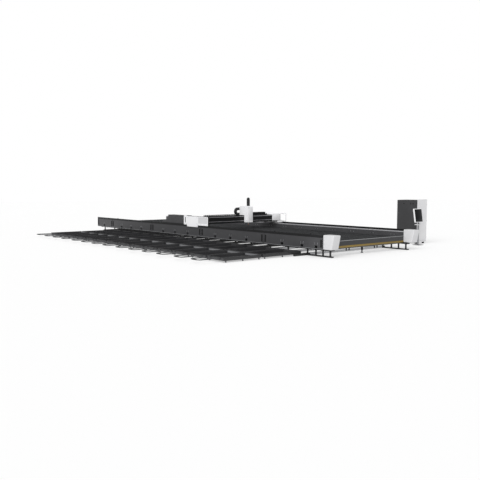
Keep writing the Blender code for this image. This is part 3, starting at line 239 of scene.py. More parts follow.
def slab(normal, low, high, holes=()):
    """A flat plate with square-cornered holes. The holes' edges cut the plate into cells. A cell stays
    unless its middle lies in a hole, and a wall stands wherever a kept cell meets an empty one."""
    low, high = np.asarray(low, float), np.asarray(high, float)
    u, v = [index for index in (X, Y, Z) if index != normal]
    cuts = []
    for k, a in enumerate((u, v)):
        edges = np.concatenate([[low[a], high[a]]] + [hole[2 * k:2 * k + 2] for hole in holes])
        cuts.append(np.unique(np.round(np.clip(edges, low[a], high[a]), 7)))
    middle = [(line[1:] + line[:-1]) / 2 for line in cuts]
    keep = np.ones((len(middle[0]) + 2, len(middle[1]) + 2), bool)
    keep[0], keep[-1], keep[:, 0], keep[:, -1] = False, False, False, False
    for u_low, u_high, v_low, v_high in holes:
        gone = (((middle[0] > u_low) & (middle[0] < u_high))[:, None]
                & ((middle[1] > v_low) & (middle[1] < v_high))[None])
        keep[1:-1, 1:-1] &= ~gone
    across, down = len(cuts[0]), len(cuts[1])
    points = np.zeros((2, across, down, 3))
    points[..., u] = cuts[0][None, :, None]
    points[..., v] = cuts[1][None, None, :]
    points[0, ..., normal], points[1, ..., normal] = low[normal], high[normal]
    index = np.arange(2 * across * down).reshape(2, across, down)
    i, j = np.nonzero(keep[1:-1, 1:-1])
    near, far = index
    tables = [np.stack([near[i, j], near[i, j + 1], near[i + 1, j + 1], near[i + 1, j]], -1),
              np.stack([far[i, j], far[i + 1, j], far[i + 1, j + 1], far[i, j + 1]], -1)]
    lift = across * down
    for step, first, second in (((-1, 0), (0, 0), (0, 1)), ((1, 0), (1, 1), (1, 0)),
                                ((0, -1), (1, 0), (0, 0)), ((0, 1), (0, 1), (1, 1))):
        edge = ~keep[i + 1 + step[0], j + 1 + step[1]]
        a = near[i[edge] + first[0], j[edge] + first[1]]
        b = near[i[edge] + second[0], j[edge] + second[1]]
        tables.append(np.stack([b, a, a + lift, b + lift], -1))
    return welded(points, [table for table in tables if len(table)])


print("block:", len(block((0, 0, 0), (1, 1, 1), 0.1)[0]), "points,",
      "slab volume:", round(volume(slab(X, (0, 0, 0), (1, 2, 2), [(0.5, 1, 0.5, 1)])), 3))

# %% [markdown]
# From a shape to an object
#
# The mesh is filled through foreach_set, which takes whole arrays. Round stretches are shaded smooth and
# real edges stay sharp, by the angle between faces. Each finished piece is hung on the body it moves with,
# takes a finish, and hides the solids it stands for.

# %%
SHARP_ANGLE = math.radians(35)


def piece(name, shape, body, finish, replaces=(), edge=0.0):
    """An object from a shape. An edge width adds a Bevel modifier, for outlines that have none yet."""
    points, tables = shape
    sizes = np.concatenate([np.full(len(table), table.shape[1]) for table in tables])
    loops = np.concatenate([table.ravel() for table in tables])
    mesh = bpy.data.meshes.new(name)
    mesh.vertices.add(len(points))
    mesh.vertices.foreach_set("co", points.astype(np.float32).ravel())
    mesh.loops.add(len(loops))
    mesh.loops.foreach_set("vertex_index", loops.astype(np.int32))
    mesh.polygons.add(len(sizes))
    starts = np.concatenate([[0], np.cumsum(sizes)[:-1]])
    mesh.polygons.foreach_set("loop_start", starts.astype(np.int32))
    mesh.update(calc_edges=True)
    mesh.validate()
    mesh.shade_smooth()
    mesh.set_sharp_from_angle(angle=SHARP_ANGLE)
    mesh.materials.append(finish)
    made = bpy.data.objects.new(name, mesh)
    bpy.context.scene.collection.objects.link(made)
    if edge:
        rounding = made.modifiers.new("edges", "BEVEL")
        rounding.width = edge
        rounding.segments = 2
        rounding.limit_method = "ANGLE"
        rounding.harden_normals = False
    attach(made, body)
    if replaces:
        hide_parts(*replaces)
    print(name, "on", body, "-", int((sizes - 2).sum()), "triangles")
    return made


def coated(name, finish):
    """A solid that keeps its shape takes a finish in place of its own."""
    NODES[name].data.materials.clear()
    NODES[name].data.materials.append(finish)


# %% [markdown]
# The camera
#
# The picture was taken from the left front corner, a little above head height, with a moderately long
# lens. The place and the lens come from a least-squares fit of the machine's bay marks to the picture, so
# they are written as real lengths and angles. No shift and no blur.

# %%
CAMERA_PLACE = (-17.010, -14.044, 2.305)
CAMERA_YAW = 38.97
CAMERA_DIP = 4.888
CAMERA_LENS = 45.25
SENSOR = 36.0
FAR_CLIP = 200.0

camera = bpy.data.objects.new("camera", bpy.data.cameras.new("camera"))
bpy.context.scene.collection.objects.link(camera)
camera.location = CAMERA_PLACE
camera.rotation_euler = (math.radians(90 - CAMERA_DIP), 0, -math.radians(CAMERA_YAW))
camera.data.lens = CAMERA_LENS
camera.data.sensor_width = SENSOR
camera.data.clip_end = FAR_CLIP
bpy.context.scene.camera = camera
bpy.context.scene.view_settings.view_transform = "Standard"
print("camera at", tuple(camera.location), "lens", camera.data.lens, "mm")

# %% [markdown]
# Colours and shader nodes
#
# Colours are written as sRGB hex values, the way a paint chart gives them. Blender's shaders work in
# linear light, so one function converts them. One more function adds a node with its settings and links,
# which keeps each material to a few lines that read from the coordinates to the shader.

# %%
def linear(hex_colour):
    """sRGB to linear light: divide by 12.92 near black, and raise to the power 2.4 above that."""
    value = np.array([int(hex_colour[k:k + 2], 16) for k in (1, 3, 5)]) / 255
    low, high = value / 12.92, ((value + 0.055) / 1.055) ** 2.4
    return (*np.where(value <= 0.04045, low, high).tolist(), 1.0)


def node(material, kind, settings=None, **links):
    """A shader node. A link or number goes to the input whose name, or I and index, is the keyword."""
    made = material.node_tree.nodes.new("ShaderNode" + kind)
    for name, value in (settings or {}).items():
        setattr(made, name, value)
    for name, value in links.items():
        socket = made.inputs[int(name[1:]) if name[1:].isdigit() else name.replace("_", " ")]
        if isinstance(value, bpy.types.NodeSocket):
            material.node_tree.links.new(value, socket)
        else:
            socket.default_value = value
    return made


def start(name, roughness, metallic=0.0, **shader_values):
    """A new Principled material, its shader, and its Object coordinates."""
    material = bpy.data.materials.new(name)
    material.use_nodes = True
    shader = material.node_tree.nodes["Principled BSDF"]
    shader.inputs["Roughness"].default_value = roughness
    shader.inputs["Metallic"].default_value = metallic
    for key, value in shader_values.items():
        shader.inputs[key.replace("_", " ")].default_value = value
    place = node(material, "TexCoord").outputs["Object"]
    return material, shader, place


def plug(material, socket, shader, name):
    """Link a node's output to one of the shader's inputs."""
    material.node_tree.links.new(socket, shader.inputs[name])


print("middle grey:", [round(channel, 3) for channel in linear("#808080")])

# %% [markdown]
# Powder coat on sheet and welded steel
#
# Nearly all of the machine is powder coated. Polyester powder melts into a skin with a faint orange peel,
# a swell about 3 mm across and some hundredths of a millimetre high. Large panels also differ a little in
# tone from place to place, and dust settles in soft clouds. So each coat is one colour, a slow cloud that
# lightens or darkens it, a roughness that varies the same way, and a fine bump. From across the hall the
# peel is too fine to show, so it is drawn a little coarser than it is.

# %%
PEEL_SIZE = 6 * MM
CLOUD_SIZE = 900 * MM


def powder_coat(name, colour, cloud, roughness, peel=0.12, size=PEEL_SIZE, shine=0.5):
    """Powder coat: colour and its dusted tone, mixed by a cloud, with orange peel as bump."""
    material, shader, place = start(name, roughness, IOR=1.5, Specular_IOR_Level=shine)
    slow = node(material, "TexNoise", Vector=place, Scale=1 / CLOUD_SIZE, Detail=5.0, Roughness=0.6)
    tone = node(material, "MapRange", I0=slow.outputs["Fac"], I1=0.35, I2=0.65)
    mixed = node(material, "Mix", {"data_type": "RGBA"}, I0=tone.outputs[0], I6=linear(colour),
                 I7=linear(cloud))
    plug(material, mixed.outputs[2], shader, "Base Color")
    gloss = node(material, "MapRange", I0=slow.outputs["Fac"], I1=0.3, I2=0.7, I3=roughness - 0.05,
                 I4=roughness + 0.07)
    plug(material, gloss.outputs[0], shader, "Roughness")
    fine = node(material, "TexNoise", Vector=place, Scale=1 / size, Detail=2.0)
    bump = node(material, "Bump", Height=fine.outputs["Fac"], Strength=peel, Distance=size / 10)
    plug(material, bump.outputs["Normal"], shader, "Normal")
    return material


BED_COAT = powder_coat("bed_powder_coat", "#38383A", "#3F3F41", 0.52)
GUARD_COAT = powder_coat("guard_powder_coat", "#121213", "#18181A", 0.50, shine=0.3)
FRAME_COAT = powder_coat("floor_frame_coat", "#141415", "#1D1D1F", 0.50)
TRAY_COAT = powder_coat("tray_coat", "#262628", "#313133", 0.50)
GANTRY_COAT = powder_coat("gantry_powder_coat", "#0E0E0F", "#131315", 0.50, shine=0.25)
WHITE_COAT = powder_coat("white_powder_coat", "#F2F2F3", "#EEEEF0", 0.38, 0.08)
CAP_COAT = powder_coat("cap_gel_coat", "#CDCDCE", "#C8C8CA", 0.36, 0.08)
CABINET_COAT = powder_coat("cabinet_powder_coat", "#313132", "#363638", 0.50)
LIGHT_COAT = powder_coat("light_grey_powder_coat", "#D5D5D6", "#CFCFD1", 0.42, 0.08)
GOLD_COAT = powder_coat("gold_stripe_coat", "#7F6822", "#6F5A1B", 0.36, 0.08)
SKIRT_COAT = powder_coat("skirt_powder_coat", "#2C2C2D", "#313133", 0.52)
# The light grey edge finish is painted highlight on the panels' feet and the skirt's top fold, where those
# edges catch the light.
EDGE_HIGHLIGHT_COAT = powder_coat("bare_edge_coat", "#8E8F91", "#86878A", 0.45)
POST_COAT = powder_coat("post_grey_coat", "#88898B", "#808184", 0.42, 0.08)
# The light grey plate on each outer tray's inner end wall is painted highlight where that wall faces the
# light.
DIVIDER_HIGHLIGHT_COAT = powder_coat("galvanised_divider", "#757678", "#808184", 0.45)
print("powder coats:", len([m for m in bpy.data.materials if "coat" in m.name]))

# %% [markdown]
# Metals
#
# Several bare metals are on the machine. Guide rails and racks are ground: fine lines run along them,
# which stretch the reflection across. The slats are hot rolled strip with a grey mill scale, and cutting
# has worn their tips light. The head's plates are milled aluminium, the nozzle is turned copper, the
# handles are dark drawn tube, and the bolts are zinc plated or black. Lines are a noise that is squeezed
# across and drawn out along the grain.

# %%
LINE_STRETCH = 60


def lined_metal(name, colour, dark, roughness, grain, line=0.8 * MM, anisotropic=0.4, metal=1.0):
    """Ground or milled metal: noise that is fine across the grain and drawn out along it."""
    material, shader, place = start(name, roughness, metal, Anisotropic=anisotropic)
    squeeze = [1 / line] * 3
    squeeze[grain] /= LINE_STRETCH
    mapped = node(material, "Mapping", Vector=place, Scale=squeeze)
    lines = node(material, "TexNoise", Vector=mapped.outputs[0], Scale=1.0, Detail=3.0)
    slow = node(material, "TexNoise", Vector=place, Scale=4.0, Detail=3.0)
    mixed = node(material, "Mix", {"data_type": "RGBA"}, I0=slow.outputs["Fac"], I6=linear(colour),
                 I7=linear(dark))
    plug(material, mixed.outputs[2], shader, "Base Color")
    gloss = node(material, "MapRange", I0=lines.outputs["Fac"], I3=roughness - 0.08, I4=roughness + 0.12)
    plug(material, gloss.outputs[0], shader, "Roughness")
    bump = node(material, "Bump", Height=lines.outputs["Fac"], Strength=0.15, Distance=line / 4)
    plug(material, bump.outputs["Normal"], shader, "Normal")
    return material


def slat_steel():
    """Hot rolled strip: blue-grey scale in patches, lighter where spatter and wear reached the tips."""
    material, shader, place = start("hot_rolled_slat_steel", 0.6, 0.75)
    patch = node(material, "TexNoise", Vector=place, Scale=1 / (60 * MM), Detail=6.0, Roughness=0.65)
    scale_tone = node(material, "Mix", {"data_type": "RGBA"}, I0=patch.outputs["Fac"],
                      I6=linear("#343537"), I7=linear("#4A4B4C"))
    height = node(material, "SeparateXYZ", Vector=place)
    tip = node(material, "MapRange", I0=height.outputs["Z"], I1=SLAT_WORN_Z, I2=SLAT_TIP_Z)
    spatter = node(material, "TexVoronoi", Vector=place, Scale=1 / (9 * MM))
    worn = node(material, "Math", {"operation": "MULTIPLY"}, I0=tip.outputs[0],
                I1=patch.outputs["Fac"])
    mixed = node(material, "Mix", {"data_type": "RGBA"}, I0=worn.outputs[0],
                 I6=scale_tone.outputs[2], I7=linear("#77787A"))
    plug(material, mixed.outputs[2], shader, "Base Color")
    gloss = node(material, "MapRange", I0=patch.outputs["Fac"], I3=0.5, I4=0.75)
    plug(material, gloss.outputs[0], shader, "Roughness")
    bump = node(material, "Bump", Height=spatter.outputs["Distance"], Strength=0.3, Distance=0.5 * MM)
    plug(material, bump.outputs["Normal"], shader, "Normal")
    return material


GRATE_LOW, GRATE_HIGH = corners("slat_grate")
SLAT_TIP_Z = GRATE_HIGH[Z]
SLAT_WORN_Z = SLAT_TIP_Z - 30 * MM
SLAT_STEEL = slat_steel()
RAIL_STEEL = lined_metal("ground_rail_steel", "#C4C4C6", "#B2B2B6", 0.34, Y, metal=0.3)
X_RAIL_STEEL = lined_metal("ground_cross_rail_steel", "#BDBDBF", "#A2A2A6", 0.30, X)
MILLED_ALUMINIUM = lined_metal("milled_aluminium", "#B4B5B7", "#9C9DA0", 0.34, Z)
HANDLE_TUBE_STEEL = lined_metal("dark_drawn_tube", "#4A4B4D", "#414244", 0.42, X, metal=0.4)
ZINC = lined_metal("zinc_plated_fasteners", "#A9AAAD", "#8E8F92", 0.38, Z, 2 * MM, 0.0)
BLACK_OXIDE = lined_metal("black_oxide_bolts", "#3A3A3C", "#2A2A2B", 0.45, Z, 2 * MM, 0.0)
COPPER = lined_metal("turned_copper", "#C68258", "#A9683F", 0.28, X, 0.6 * MM)
print("metals ready; slat tips at", round(float(SLAT_TIP_Z), 4), "m")

# %% [markdown]
# Plastics, rubber and the screen
#
# Cable chains are black nylon with a matt, faintly grained skin. Wheels are polyurethane, feet rest on
# rubber, keys and the stop button are ABS. The touch screen is a sheet of dark glass, dielectric and
# nearly smooth. Its coating takes most of the reflection away, so its specular level is set low.

# %%
def moulded(name, colour, shade, roughness, grain_size, strength=0.2):
    """Moulded plastic or rubber: a slight change of tone, and a leather-fine grain as bump."""
    material, shader, place = start(name, roughness, IOR=1.5)
    slow = node(material, "TexNoise", Vector=place, Scale=1 / (40 * MM), Detail=3.0)
    mixed = node(material, "Mix", {"data_type": "RGBA"}, I0=slow.outputs["Fac"], I6=linear(colour),
                 I7=linear(shade))
    plug(material, mixed.outputs[2], shader, "Base Color")
    grain = node(material, "TexVoronoi", Vector=place, Scale=1 / grain_size)
    bump = node(material, "Bump", Height=grain.outputs["Distance"], Strength=strength,
                Distance=grain_size / 8)
    plug(material, bump.outputs["Normal"], shader, "Normal")
    return material


def dark_glass():
    """Screen glass over a dark panel, with a faint cloud of finger grease in the roughness."""
    material, shader, place = start("dark_screen_glass", 0.08, IOR=1.52, Specular_IOR_Level=0.12)
    shader.inputs["Base Color"].default_value = linear("#101113")
    smear = node(material, "TexNoise", Vector=place, Scale=1 / (50 * MM), Detail=4.0)
    gloss = node(material, "MapRange", I0=smear.outputs["Fac"], I1=0.4, I2=0.7, I3=0.06, I4=0.2)
    plug(material, gloss.outputs[0], shader, "Roughness")
    return material


CHAIN_NYLON = moulded("black_chain_nylon", "#1A1A1B", "#222224", 0.5, 1.5 * MM)
WHEEL_URETHANE = moulded("grey_wheel_urethane", "#2A2A2B", "#333335", 0.55, 2 * MM)
FOOT_RUBBER = moulded("black_foot_rubber", "#0A0A0B", "#111112", 0.7, 1.5 * MM)
SHELL_ABS = moulded("white_console_shell", "#E8E8E9", "#E2E2E4", 0.42, 2 * MM, 0.1)
KEY_ABS = moulded("dark_key_abs", "#2B2C2E", "#343538", 0.5, 1 * MM, 0.1)
BUTTON_ABS = moulded("button_abs", "#2A1617", "#341A1B", 0.35, 1 * MM, 0.05)
CERAMIC = moulded("white_ceramic", "#E4E2DC", "#D8D5CE", 0.3, 1 * MM, 0.05)
HANDLE_GRIP = moulded("handle_grip_vinyl", "#1B1B1C", "#262627", 0.6, 1.5 * MM)
SCREEN_GLASS = dark_glass()
DARK_GAP = moulded("unlit_inside", "#050505", "#0A0A0A", 0.9, 4 * MM, 0.0)
print("plastics ready")

# %% [markdown]
# The bed's side beams
#
# Each side of the bed is five welded box beams bolted end to end. Their solids already have the right
# slots and holes, so they keep their shape and only take a coat. What they lack is what a welder and a
# fitter add: a lip along the bottom edge, joint flanges with bolts, rubber edging round the holes and
# slots with a pair of cable clips above each hole, a drip apron, and bolts along the inner face. All of
# those repeat, so each is one pattern and a list of places.

# %%
HALF_BED = -corners("left_bed_beam_1")[0][X]
INNER_X = -corners("left_truck")[1][X]
BEAM_BOTTOM = corners("left_bed_beam_1")[0][Z]
BEAM_TOP = corners("left_bed_beam_1")[1][Z]
BED_FRONT = corners("left_bed_beam_1")[0][Y]
BED_BACK = corners("left_bed_beam_5")[1][Y]
JOINTS = [corners("left_bed_beam_%d" % number)[1][Y] for number in range(1, 5)]
SECTIONS = list(zip([BED_FRONT] + JOINTS, JOINTS + [BED_BACK]))
BEAM_MIDDLE = (BEAM_BOTTOM + BEAM_TOP) / 2
BAY = 1.0
HOLE_HALF = np.array((45, 35)) * MM
HOLE_MIDDLE = BEAM_BOTTOM + 70 * MM
FIRST_HOLE, LAST_HOLE = BED_FRONT + 0.33, JOINTS[3] + 0.91
BEAM_WALL = 8 * MM
SLOT_INSET = 0.10
SLOT_HALF = np.array((27.5, 120)) * MM
END_BUMPER = 60 * MM
EDGING_WIDTH = 12 * MM
CLIP_GAP = 62 * MM
CLAMP_GAP = 0.27
FLANGE_BOLT_GAP = 34 * MM
SEAT_BOLT_GAP = 75 * MM

for name in NODES:
    if "_bed_beam_" in name:
        coated(name, BED_COAT)


def spread(shape, places):
    """A copy of the shape at each place along the bed."""
    return many(shape, [(0, y, 0) for y in places])


def beside(places, gap):
    """Two places for each given one: a gap before it and a gap behind it."""
    return [y + step * gap for y in places for step in (-1, 1)]


def bolt(radius=12 * MM, height=8 * MM, axis=X, outward=1):
    """A hexagon head on its washer. The head has six sides because its profile is spun in six steps."""
    washer = turned([(radius * 1.45, -1 * MM), (radius * 1.45, 2 * MM)], 16, axis=axis)
    head = turned([(radius, 2 * MM), (radius, height - 2 * MM), (radius * 0.86, height)], 6, axis=axis)
    return join(washer, head) if outward > 0 else flipped(join(washer, head), axis)


def hole_places():
    """Y of every cable hole: one at each whole bay between joints, and one near each end of the bed."""
    whole = [JOINTS[0] - BAY, JOINTS[0] - 2 * BAY]
    for joint in JOINTS[1:]:
        whole += [joint - bay * BAY for bay in (1, 2, 3)]
    return np.array([FIRST_HOLE] + whole + [LAST_HOLE])


def panel_trim():
    """Folded lips along the outer panels' feet, and joint flanges, for the right side."""
    lips = [block((HALF_BED - 4 * MM, front + 2 * MM, BEAM_BOTTOM),
                  (HALF_BED + 10 * MM, back - 2 * MM, BEAM_BOTTOM + 5 * MM), 1.5 * MM, 1)
            for front, back in SECTIONS]
    flange = block((HALF_BED - 2 * MM, 2 * MM, BEAM_BOTTOM + 20 * MM),
                   (HALF_BED + 8 * MM, 14 * MM, BEAM_TOP - 12 * MM), 2 * MM, 1)
    return join(*lips, spread(join(flange, flipped(flange, Y)), JOINTS))


def slot_places():
    """Y of every upright slot: one on each side of a joint, and one near each end of the bed."""
    return beside(JOINTS, SLOT_INSET) + [BED_FRONT + SLOT_INSET, BED_BACK - SLOT_INSET]


def edging(half, middle):
    """A rubber frame round an opening of the outer panel, 4 mm proud of it."""
    reach = half + EDGING_WIDTH
    return slab(X, (HALF_BED - 2 * MM, -reach[0], middle - reach[1]),
                (HALF_BED + 4 * MM, reach[0], middle + reach[1]),
                [(-half[0], half[0], middle - half[1], middle + half[1])])


def hole_edging():
    """Rubber round every cable hole and upright slot, and a bumper at the panels' far end."""
    bumper = block((HALF_BED - 2 * MM, BED_BACK - END_BUMPER, BEAM_BOTTOM + 4 * MM),
                   (HALF_BED + 4 * MM, BED_BACK - 2 * MM, BEAM_TOP - 2 * MM), 2 * MM, 1)
    return join(bumper, spread(edging(HOLE_HALF, HOLE_MIDDLE), hole_places()),
                spread(edging(SLOT_HALF, BEAM_MIDDLE), slot_places()))


def cable_studs():
    """Two zinc-plated cable clips above each hole, one either side of its middle."""
    clip = block((HALF_BED - 2 * MM, -7 * MM, HOLE_MIDDLE + 60 * MM),
                 (HALF_BED + 9 * MM, 7 * MM, HOLE_MIDDLE + 145 * MM), 3 * MM, 1)
    return spread(clip, beside(hole_places(), CLIP_GAP))


def panel_edge():
    """A light grey strip along the foot of each panel: painted highlight where the panel's lower edge
    catches the light.
    """
    return join(*[block((HALF_BED + 7 * MM, front + 3 * MM, BEAM_BOTTOM + 1 * MM),
                        (HALF_BED + 11 * MM, back - 3 * MM, BEAM_BOTTOM + 13 * MM), 1 * MM, 1)
                  for front, back in SECTIONS])


def apron():
    """A black drip apron under the outer panel, with a hose clamp on either side of each cable hole."""
    strips = [block((HALF_BED - 14 * MM, front + 3 * MM, BEAM_BOTTOM - 20 * MM),
                    (HALF_BED - 10 * MM, back - 3 * MM, BEAM_BOTTOM + 2 * MM))
              for front, back in SECTIONS]
    clamp = block((HALF_BED - 24 * MM, -55 * MM, BEAM_BOTTOM - 46 * MM),
                  (HALF_BED - 8 * MM, 55 * MM, BEAM_BOTTOM - 12 * MM), 5 * MM, 2)
    return join(*strips, spread(clamp, beside(hole_places(), CLAMP_GAP)))


def slot_backing():
    """A near-black sheet inside the beam behind each upright slot: painted shade for the dark inside of
    the beam.
    """
    curtain = block((HALF_BED - BEAM_WALL - 7 * MM, -45 * MM, BEAM_MIDDLE - 0.15),
                    (HALF_BED - BEAM_WALL - 2 * MM, 45 * MM, BEAM_MIDDLE + 0.15))
    return spread(curtain, slot_places())


def joint_bolts():
    """Five bolts down each flange of a joint, and as many down each end of the bed."""
    rows = np.linspace(BEAM_BOTTOM + 55 * MM, BEAM_TOP - 45 * MM, 5)
    columns = beside(JOINTS, FLANGE_BOLT_GAP) + [BED_FRONT + FLANGE_BOLT_GAP, BED_BACK - FLANGE_BOLT_GAP]
    return many(bolt(9 * MM, 7 * MM), [(HALF_BED, y, z) for y in columns for z in rows])


def inner_bolts():
    """Pairs of bolts along the beam's inner face, under the rail, that hold the rail's seat."""
    pairs = np.arange(BED_FRONT + 0.5, BED_BACK - 0.3, BAY)
    places = [(INNER_X, y, BEAM_TOP - 100 * MM) for y in beside(pairs, SEAT_BOLT_GAP)]
    return many(bolt(13 * MM, 9 * MM, X, -1), places)


BED_KIT = {"panel_trim": (panel_trim(), BED_COAT, "bed_paint"),
           "hole_edging": (hole_edging(), FOOT_RUBBER, "bed_paint"),
           "cable_clips": (cable_studs(), ZINC, "rail_steel"),
           "joint_bolts": (joint_bolts(), BLACK_OXIDE, "bed_paint"),
           "panel_edge": (panel_edge(), EDGE_HIGHLIGHT_COAT, "bed_paint"),
           "slot_backing": (slot_backing(), DARK_GAP, "bed_paint"),
           "apron": (apron(), FOOT_RUBBER, "bed_paint"),
           "seat_bolts": (inner_bolts(), ZINC, "rail_steel")}
for side in SIDES:
    for name, (shape, finish, slot) in BED_KIT.items():
        piece(side + "_" + name, handed(shape, side), "bed", finish)

# %% [markdown]
# Guide rails and racks
#
# The gantry runs on ground linear rails, and pinions on its trucks climb along racks beside them. A rail's
# section has a waist where the ball blocks grip, and counterbored holes along its top, closed with caps.
# A rack could be an array of teeth, but as one grid it is a closed bar: four lines run along the bed and
# the one that faces the pinion swings in and out by the tooth's depth. Real module 4 teeth are 12.6 mm
# apart, and these are too.

# %%
RAIL_LOW, RAIL_HIGH = corners("right_guide_rail")
RAIL_HALF = 17 * MM
RAIL_X = RAIL_LOW[X] + RAIL_HALF
RAIL_BASE = 6 * MM
RAIL_RISE = RAIL_HIGH[Z] - RAIL_LOW[Z]
RACK_HEIGHT = 20 * MM
RACK_WIDTH = 22 * MM
TOOTH_PITCH = 12.566 * MM
TOOTH_DEPTH = 7 * MM
TOOTH_SHARES = np.array((0.0, 0.22, 0.5, 0.72))
CAP_PITCH = 120 * MM
SEAT_SCREW_GAP = 18 * MM


def rail_section():
    """Half of a ball rail's outline, from the foot up over the waist, and its mirror image."""
    half = np.array([(17, 0), (17, 9), (13.5, 12.5), (13.5, 17), (17, 20.5), (17, 26), (15, 28)]) * MM
    half[:, 1] *= RAIL_RISE / half[-1, 1]
    return np.concatenate([half, half[::-1] * (-1, 1)])


def rack(start, end, low, high, back, face):
    """A toothed bar: a loop of four lines carried along Y, whose front line follows the teeth. A tooth
    is root, flank, tip, flank, at the shares of the pitch that TOOTH_SHARES gives."""
    count = int((end - start) / TOOTH_PITCH)
    along = (start + TOOTH_PITCH * (np.arange(count)[:, None] + TOOTH_SHARES[None])).ravel()
    depth = np.tile(np.array((0.0, 1.0, 1.0, 0.0)), count) * TOOTH_DEPTH * np.sign(face - back)
    front = face - TOOTH_DEPTH * np.sign(face - back) + depth
    plain = np.full_like(along, back)
    return lofted(np.stack([np.stack([x, along, np.full_like(along, z)], -1)
                            for x, z in ((plain, low), (front, low), (front, high), (plain, high))], 1))


def rail_set():
    """Rail, seat strip and rack for the right side."""
    floor = RAIL_LOW[Z]
    section = rail_section() + (RAIL_X, floor)
    rail = extruded(section, Y, BED_FRONT, BED_BACK)
    seat = block((RAIL_X + RAIL_HALF - 2 * MM, BED_FRONT, floor),
                 (RAIL_HIGH[X], BED_BACK, floor + RAIL_BASE), 1 * MM, 1)
    teeth = rack(BED_FRONT, BED_BACK, floor + RAIL_BASE - 1 * MM, floor + RAIL_BASE + RACK_HEIGHT,
                 RAIL_HIGH[X] - RACK_WIDTH, RAIL_HIGH[X])
    return join(rail, seat, teeth)


def rail_caps():
    """Steel caps in the rail's counterbores and socket screws in the seat strip."""
    spots = np.arange(BED_FRONT + CAP_PITCH / 2, BED_BACK, CAP_PITCH)
    cap = turned([(7 * MM, -1 * MM), (7 * MM, 0.4 * MM), (5.5 * MM, 0.7 * MM)], 10)
    screw = turned([(6 * MM, -1 * MM), (6 * MM, 5 * MM), (5 * MM, 6 * MM)], 8)
    on_rail = many(cap, [(RAIL_X, y, RAIL_HIGH[Z]) for y in spots])
    on_seat = many(screw, [(RAIL_X + RAIL_HALF + SEAT_SCREW_GAP, y, RAIL_LOW[Z] + RAIL_BASE)
                           for y in spots[::2]])
    return join(on_rail, on_seat)


rail, caps = rail_set(), rail_caps()
for side in SIDES:
    piece(side + "_rail_and_rack", handed(rail, side), "bed", RAIL_STEEL,
          [side + "_guide_rail"])
    piece(side + "_rail_caps", handed(caps, side), "bed", BLACK_OXIDE)

# %% [markdown]
# Guard strips and lifting lugs
#
# A dark strip stands along each beam's outer edge and hides the rail from the side. It is a folded
# section with a hem, in lengths that butt at the section joints, and the left one carries lifting lugs.
# The strip is a block per length, and a lug is a small outline with a round head and an eye.

# %%
LUG_RISE = 35 * MM
LUG_HALF = 30 * MM
LUG_INSET = 0.60
LUG_PLACES = [y for front, back in SECTIONS[:-1] for y in (front + LUG_INSET, back - LUG_INSET)]


def guard_strip(side):
    """One length per section: an upright wall with a hem on top and a foot, both turned inward."""
    low, high = corners(side + "_outer_guard")
    if side == "left":
        high = high - (0, 0, LUG_RISE)
    outer, inward = (low[X], 1) if side == "left" else (high[X], -1)
    wall = sorted((outer, outer + inward * 5 * MM))
    hem = sorted((outer + inward * 1 * MM, outer + inward * 20 * MM))
    parts = []
    for front, back in SECTIONS:
        start, end = front + 1 * MM, back - 1 * MM
        parts += [block((wall[0], start, low[Z]), (wall[1], end, high[Z]), 1 * MM, 1),
                  block((hem[0], start, high[Z] - 5 * MM), (hem[1], end, high[Z]), 1.5 * MM, 2),
                  block((hem[0], start, low[Z]), (hem[1], end, low[Z] + 4 * MM), 1 * MM, 1)]
    return join(*parts)


def lug(y):
    """A lifting lug: a plate with a half-round head, welded to the strip, and a rim around its eye."""
    low, high = corners("left_outer_guard")
    foot, eye = high[Z] - LUG_RISE - LUG_HALF, high[Z] - LUG_HALF
    arc = np.linspace(0, np.pi, 13)
    head = np.stack([y + LUG_HALF * np.cos(arc), eye + LUG_HALF * np.sin(arc)], -1)
    outline = np.concatenate([[(y + LUG_HALF, foot)], head, [(y - LUG_HALF, foot)]])
    plate = extruded(outline, X, low[X] + 5 * MM, low[X] + 15 * MM)
    rim = turned([(7 * MM, -6 * MM), (13 * MM, -6 * MM), (13 * MM, 6 * MM), (7 * MM, 6 * MM)], 14,
                 (low[X] + 10 * MM, y, eye), X)
    return join(plate, rim)


for side in SIDES:
    shape = guard_strip(side)
    if side == "left":
        shape = join(shape, *[lug(y) for y in LUG_PLACES])
    piece(side + "_guard_strip", shape, "bed", GUARD_COAT, [side + "_outer_guard"])

# %% [markdown]
# The slat table
#
# The sheet lies on upright slats with saw-toothed tops, so the beam only meets points. A slat is a strip
# of 4 mm steel: four lines from side to side, whose two top lines zigzag. The slats stand in notched
# bearers. Real tables have a slat about every 60 to 100 mm; this one has one each 100 mm with teeth
# 60 mm apart, which keeps the table under the triangle limit and still reads as saw teeth.

# %%
SLAT_PITCH = 100 * MM
SLAT_THICK = 4 * MM
SLAT_DEPTH = 84 * MM
TEETH_PITCH = 60 * MM
TEETH_DEPTH = 22 * MM
GRATE_RAIL = 30 * MM
BEARER_THICK = 6 * MM
BEARERS = 5
NOTCH_DROP = 45 * MM


def slat(reach):
    """One slat from side to side: the height of its top is a triangle wave along X."""
    teeth = int(2 * reach / TEETH_PITCH)
    along = np.linspace(-reach, reach, 2 * teeth + 1)
    top = SLAT_TIP_Z - TEETH_DEPTH * (np.arange(len(along)) % 2 == 0)
    half = SLAT_THICK / 2
    low = np.full_like(along, SLAT_TIP_Z - SLAT_DEPTH)
    return lofted(np.stack([np.stack([along, np.full_like(along, y), z], -1)
                            for y, z in ((-half, low), (half, low), (half, top), (-half, top))], 1))


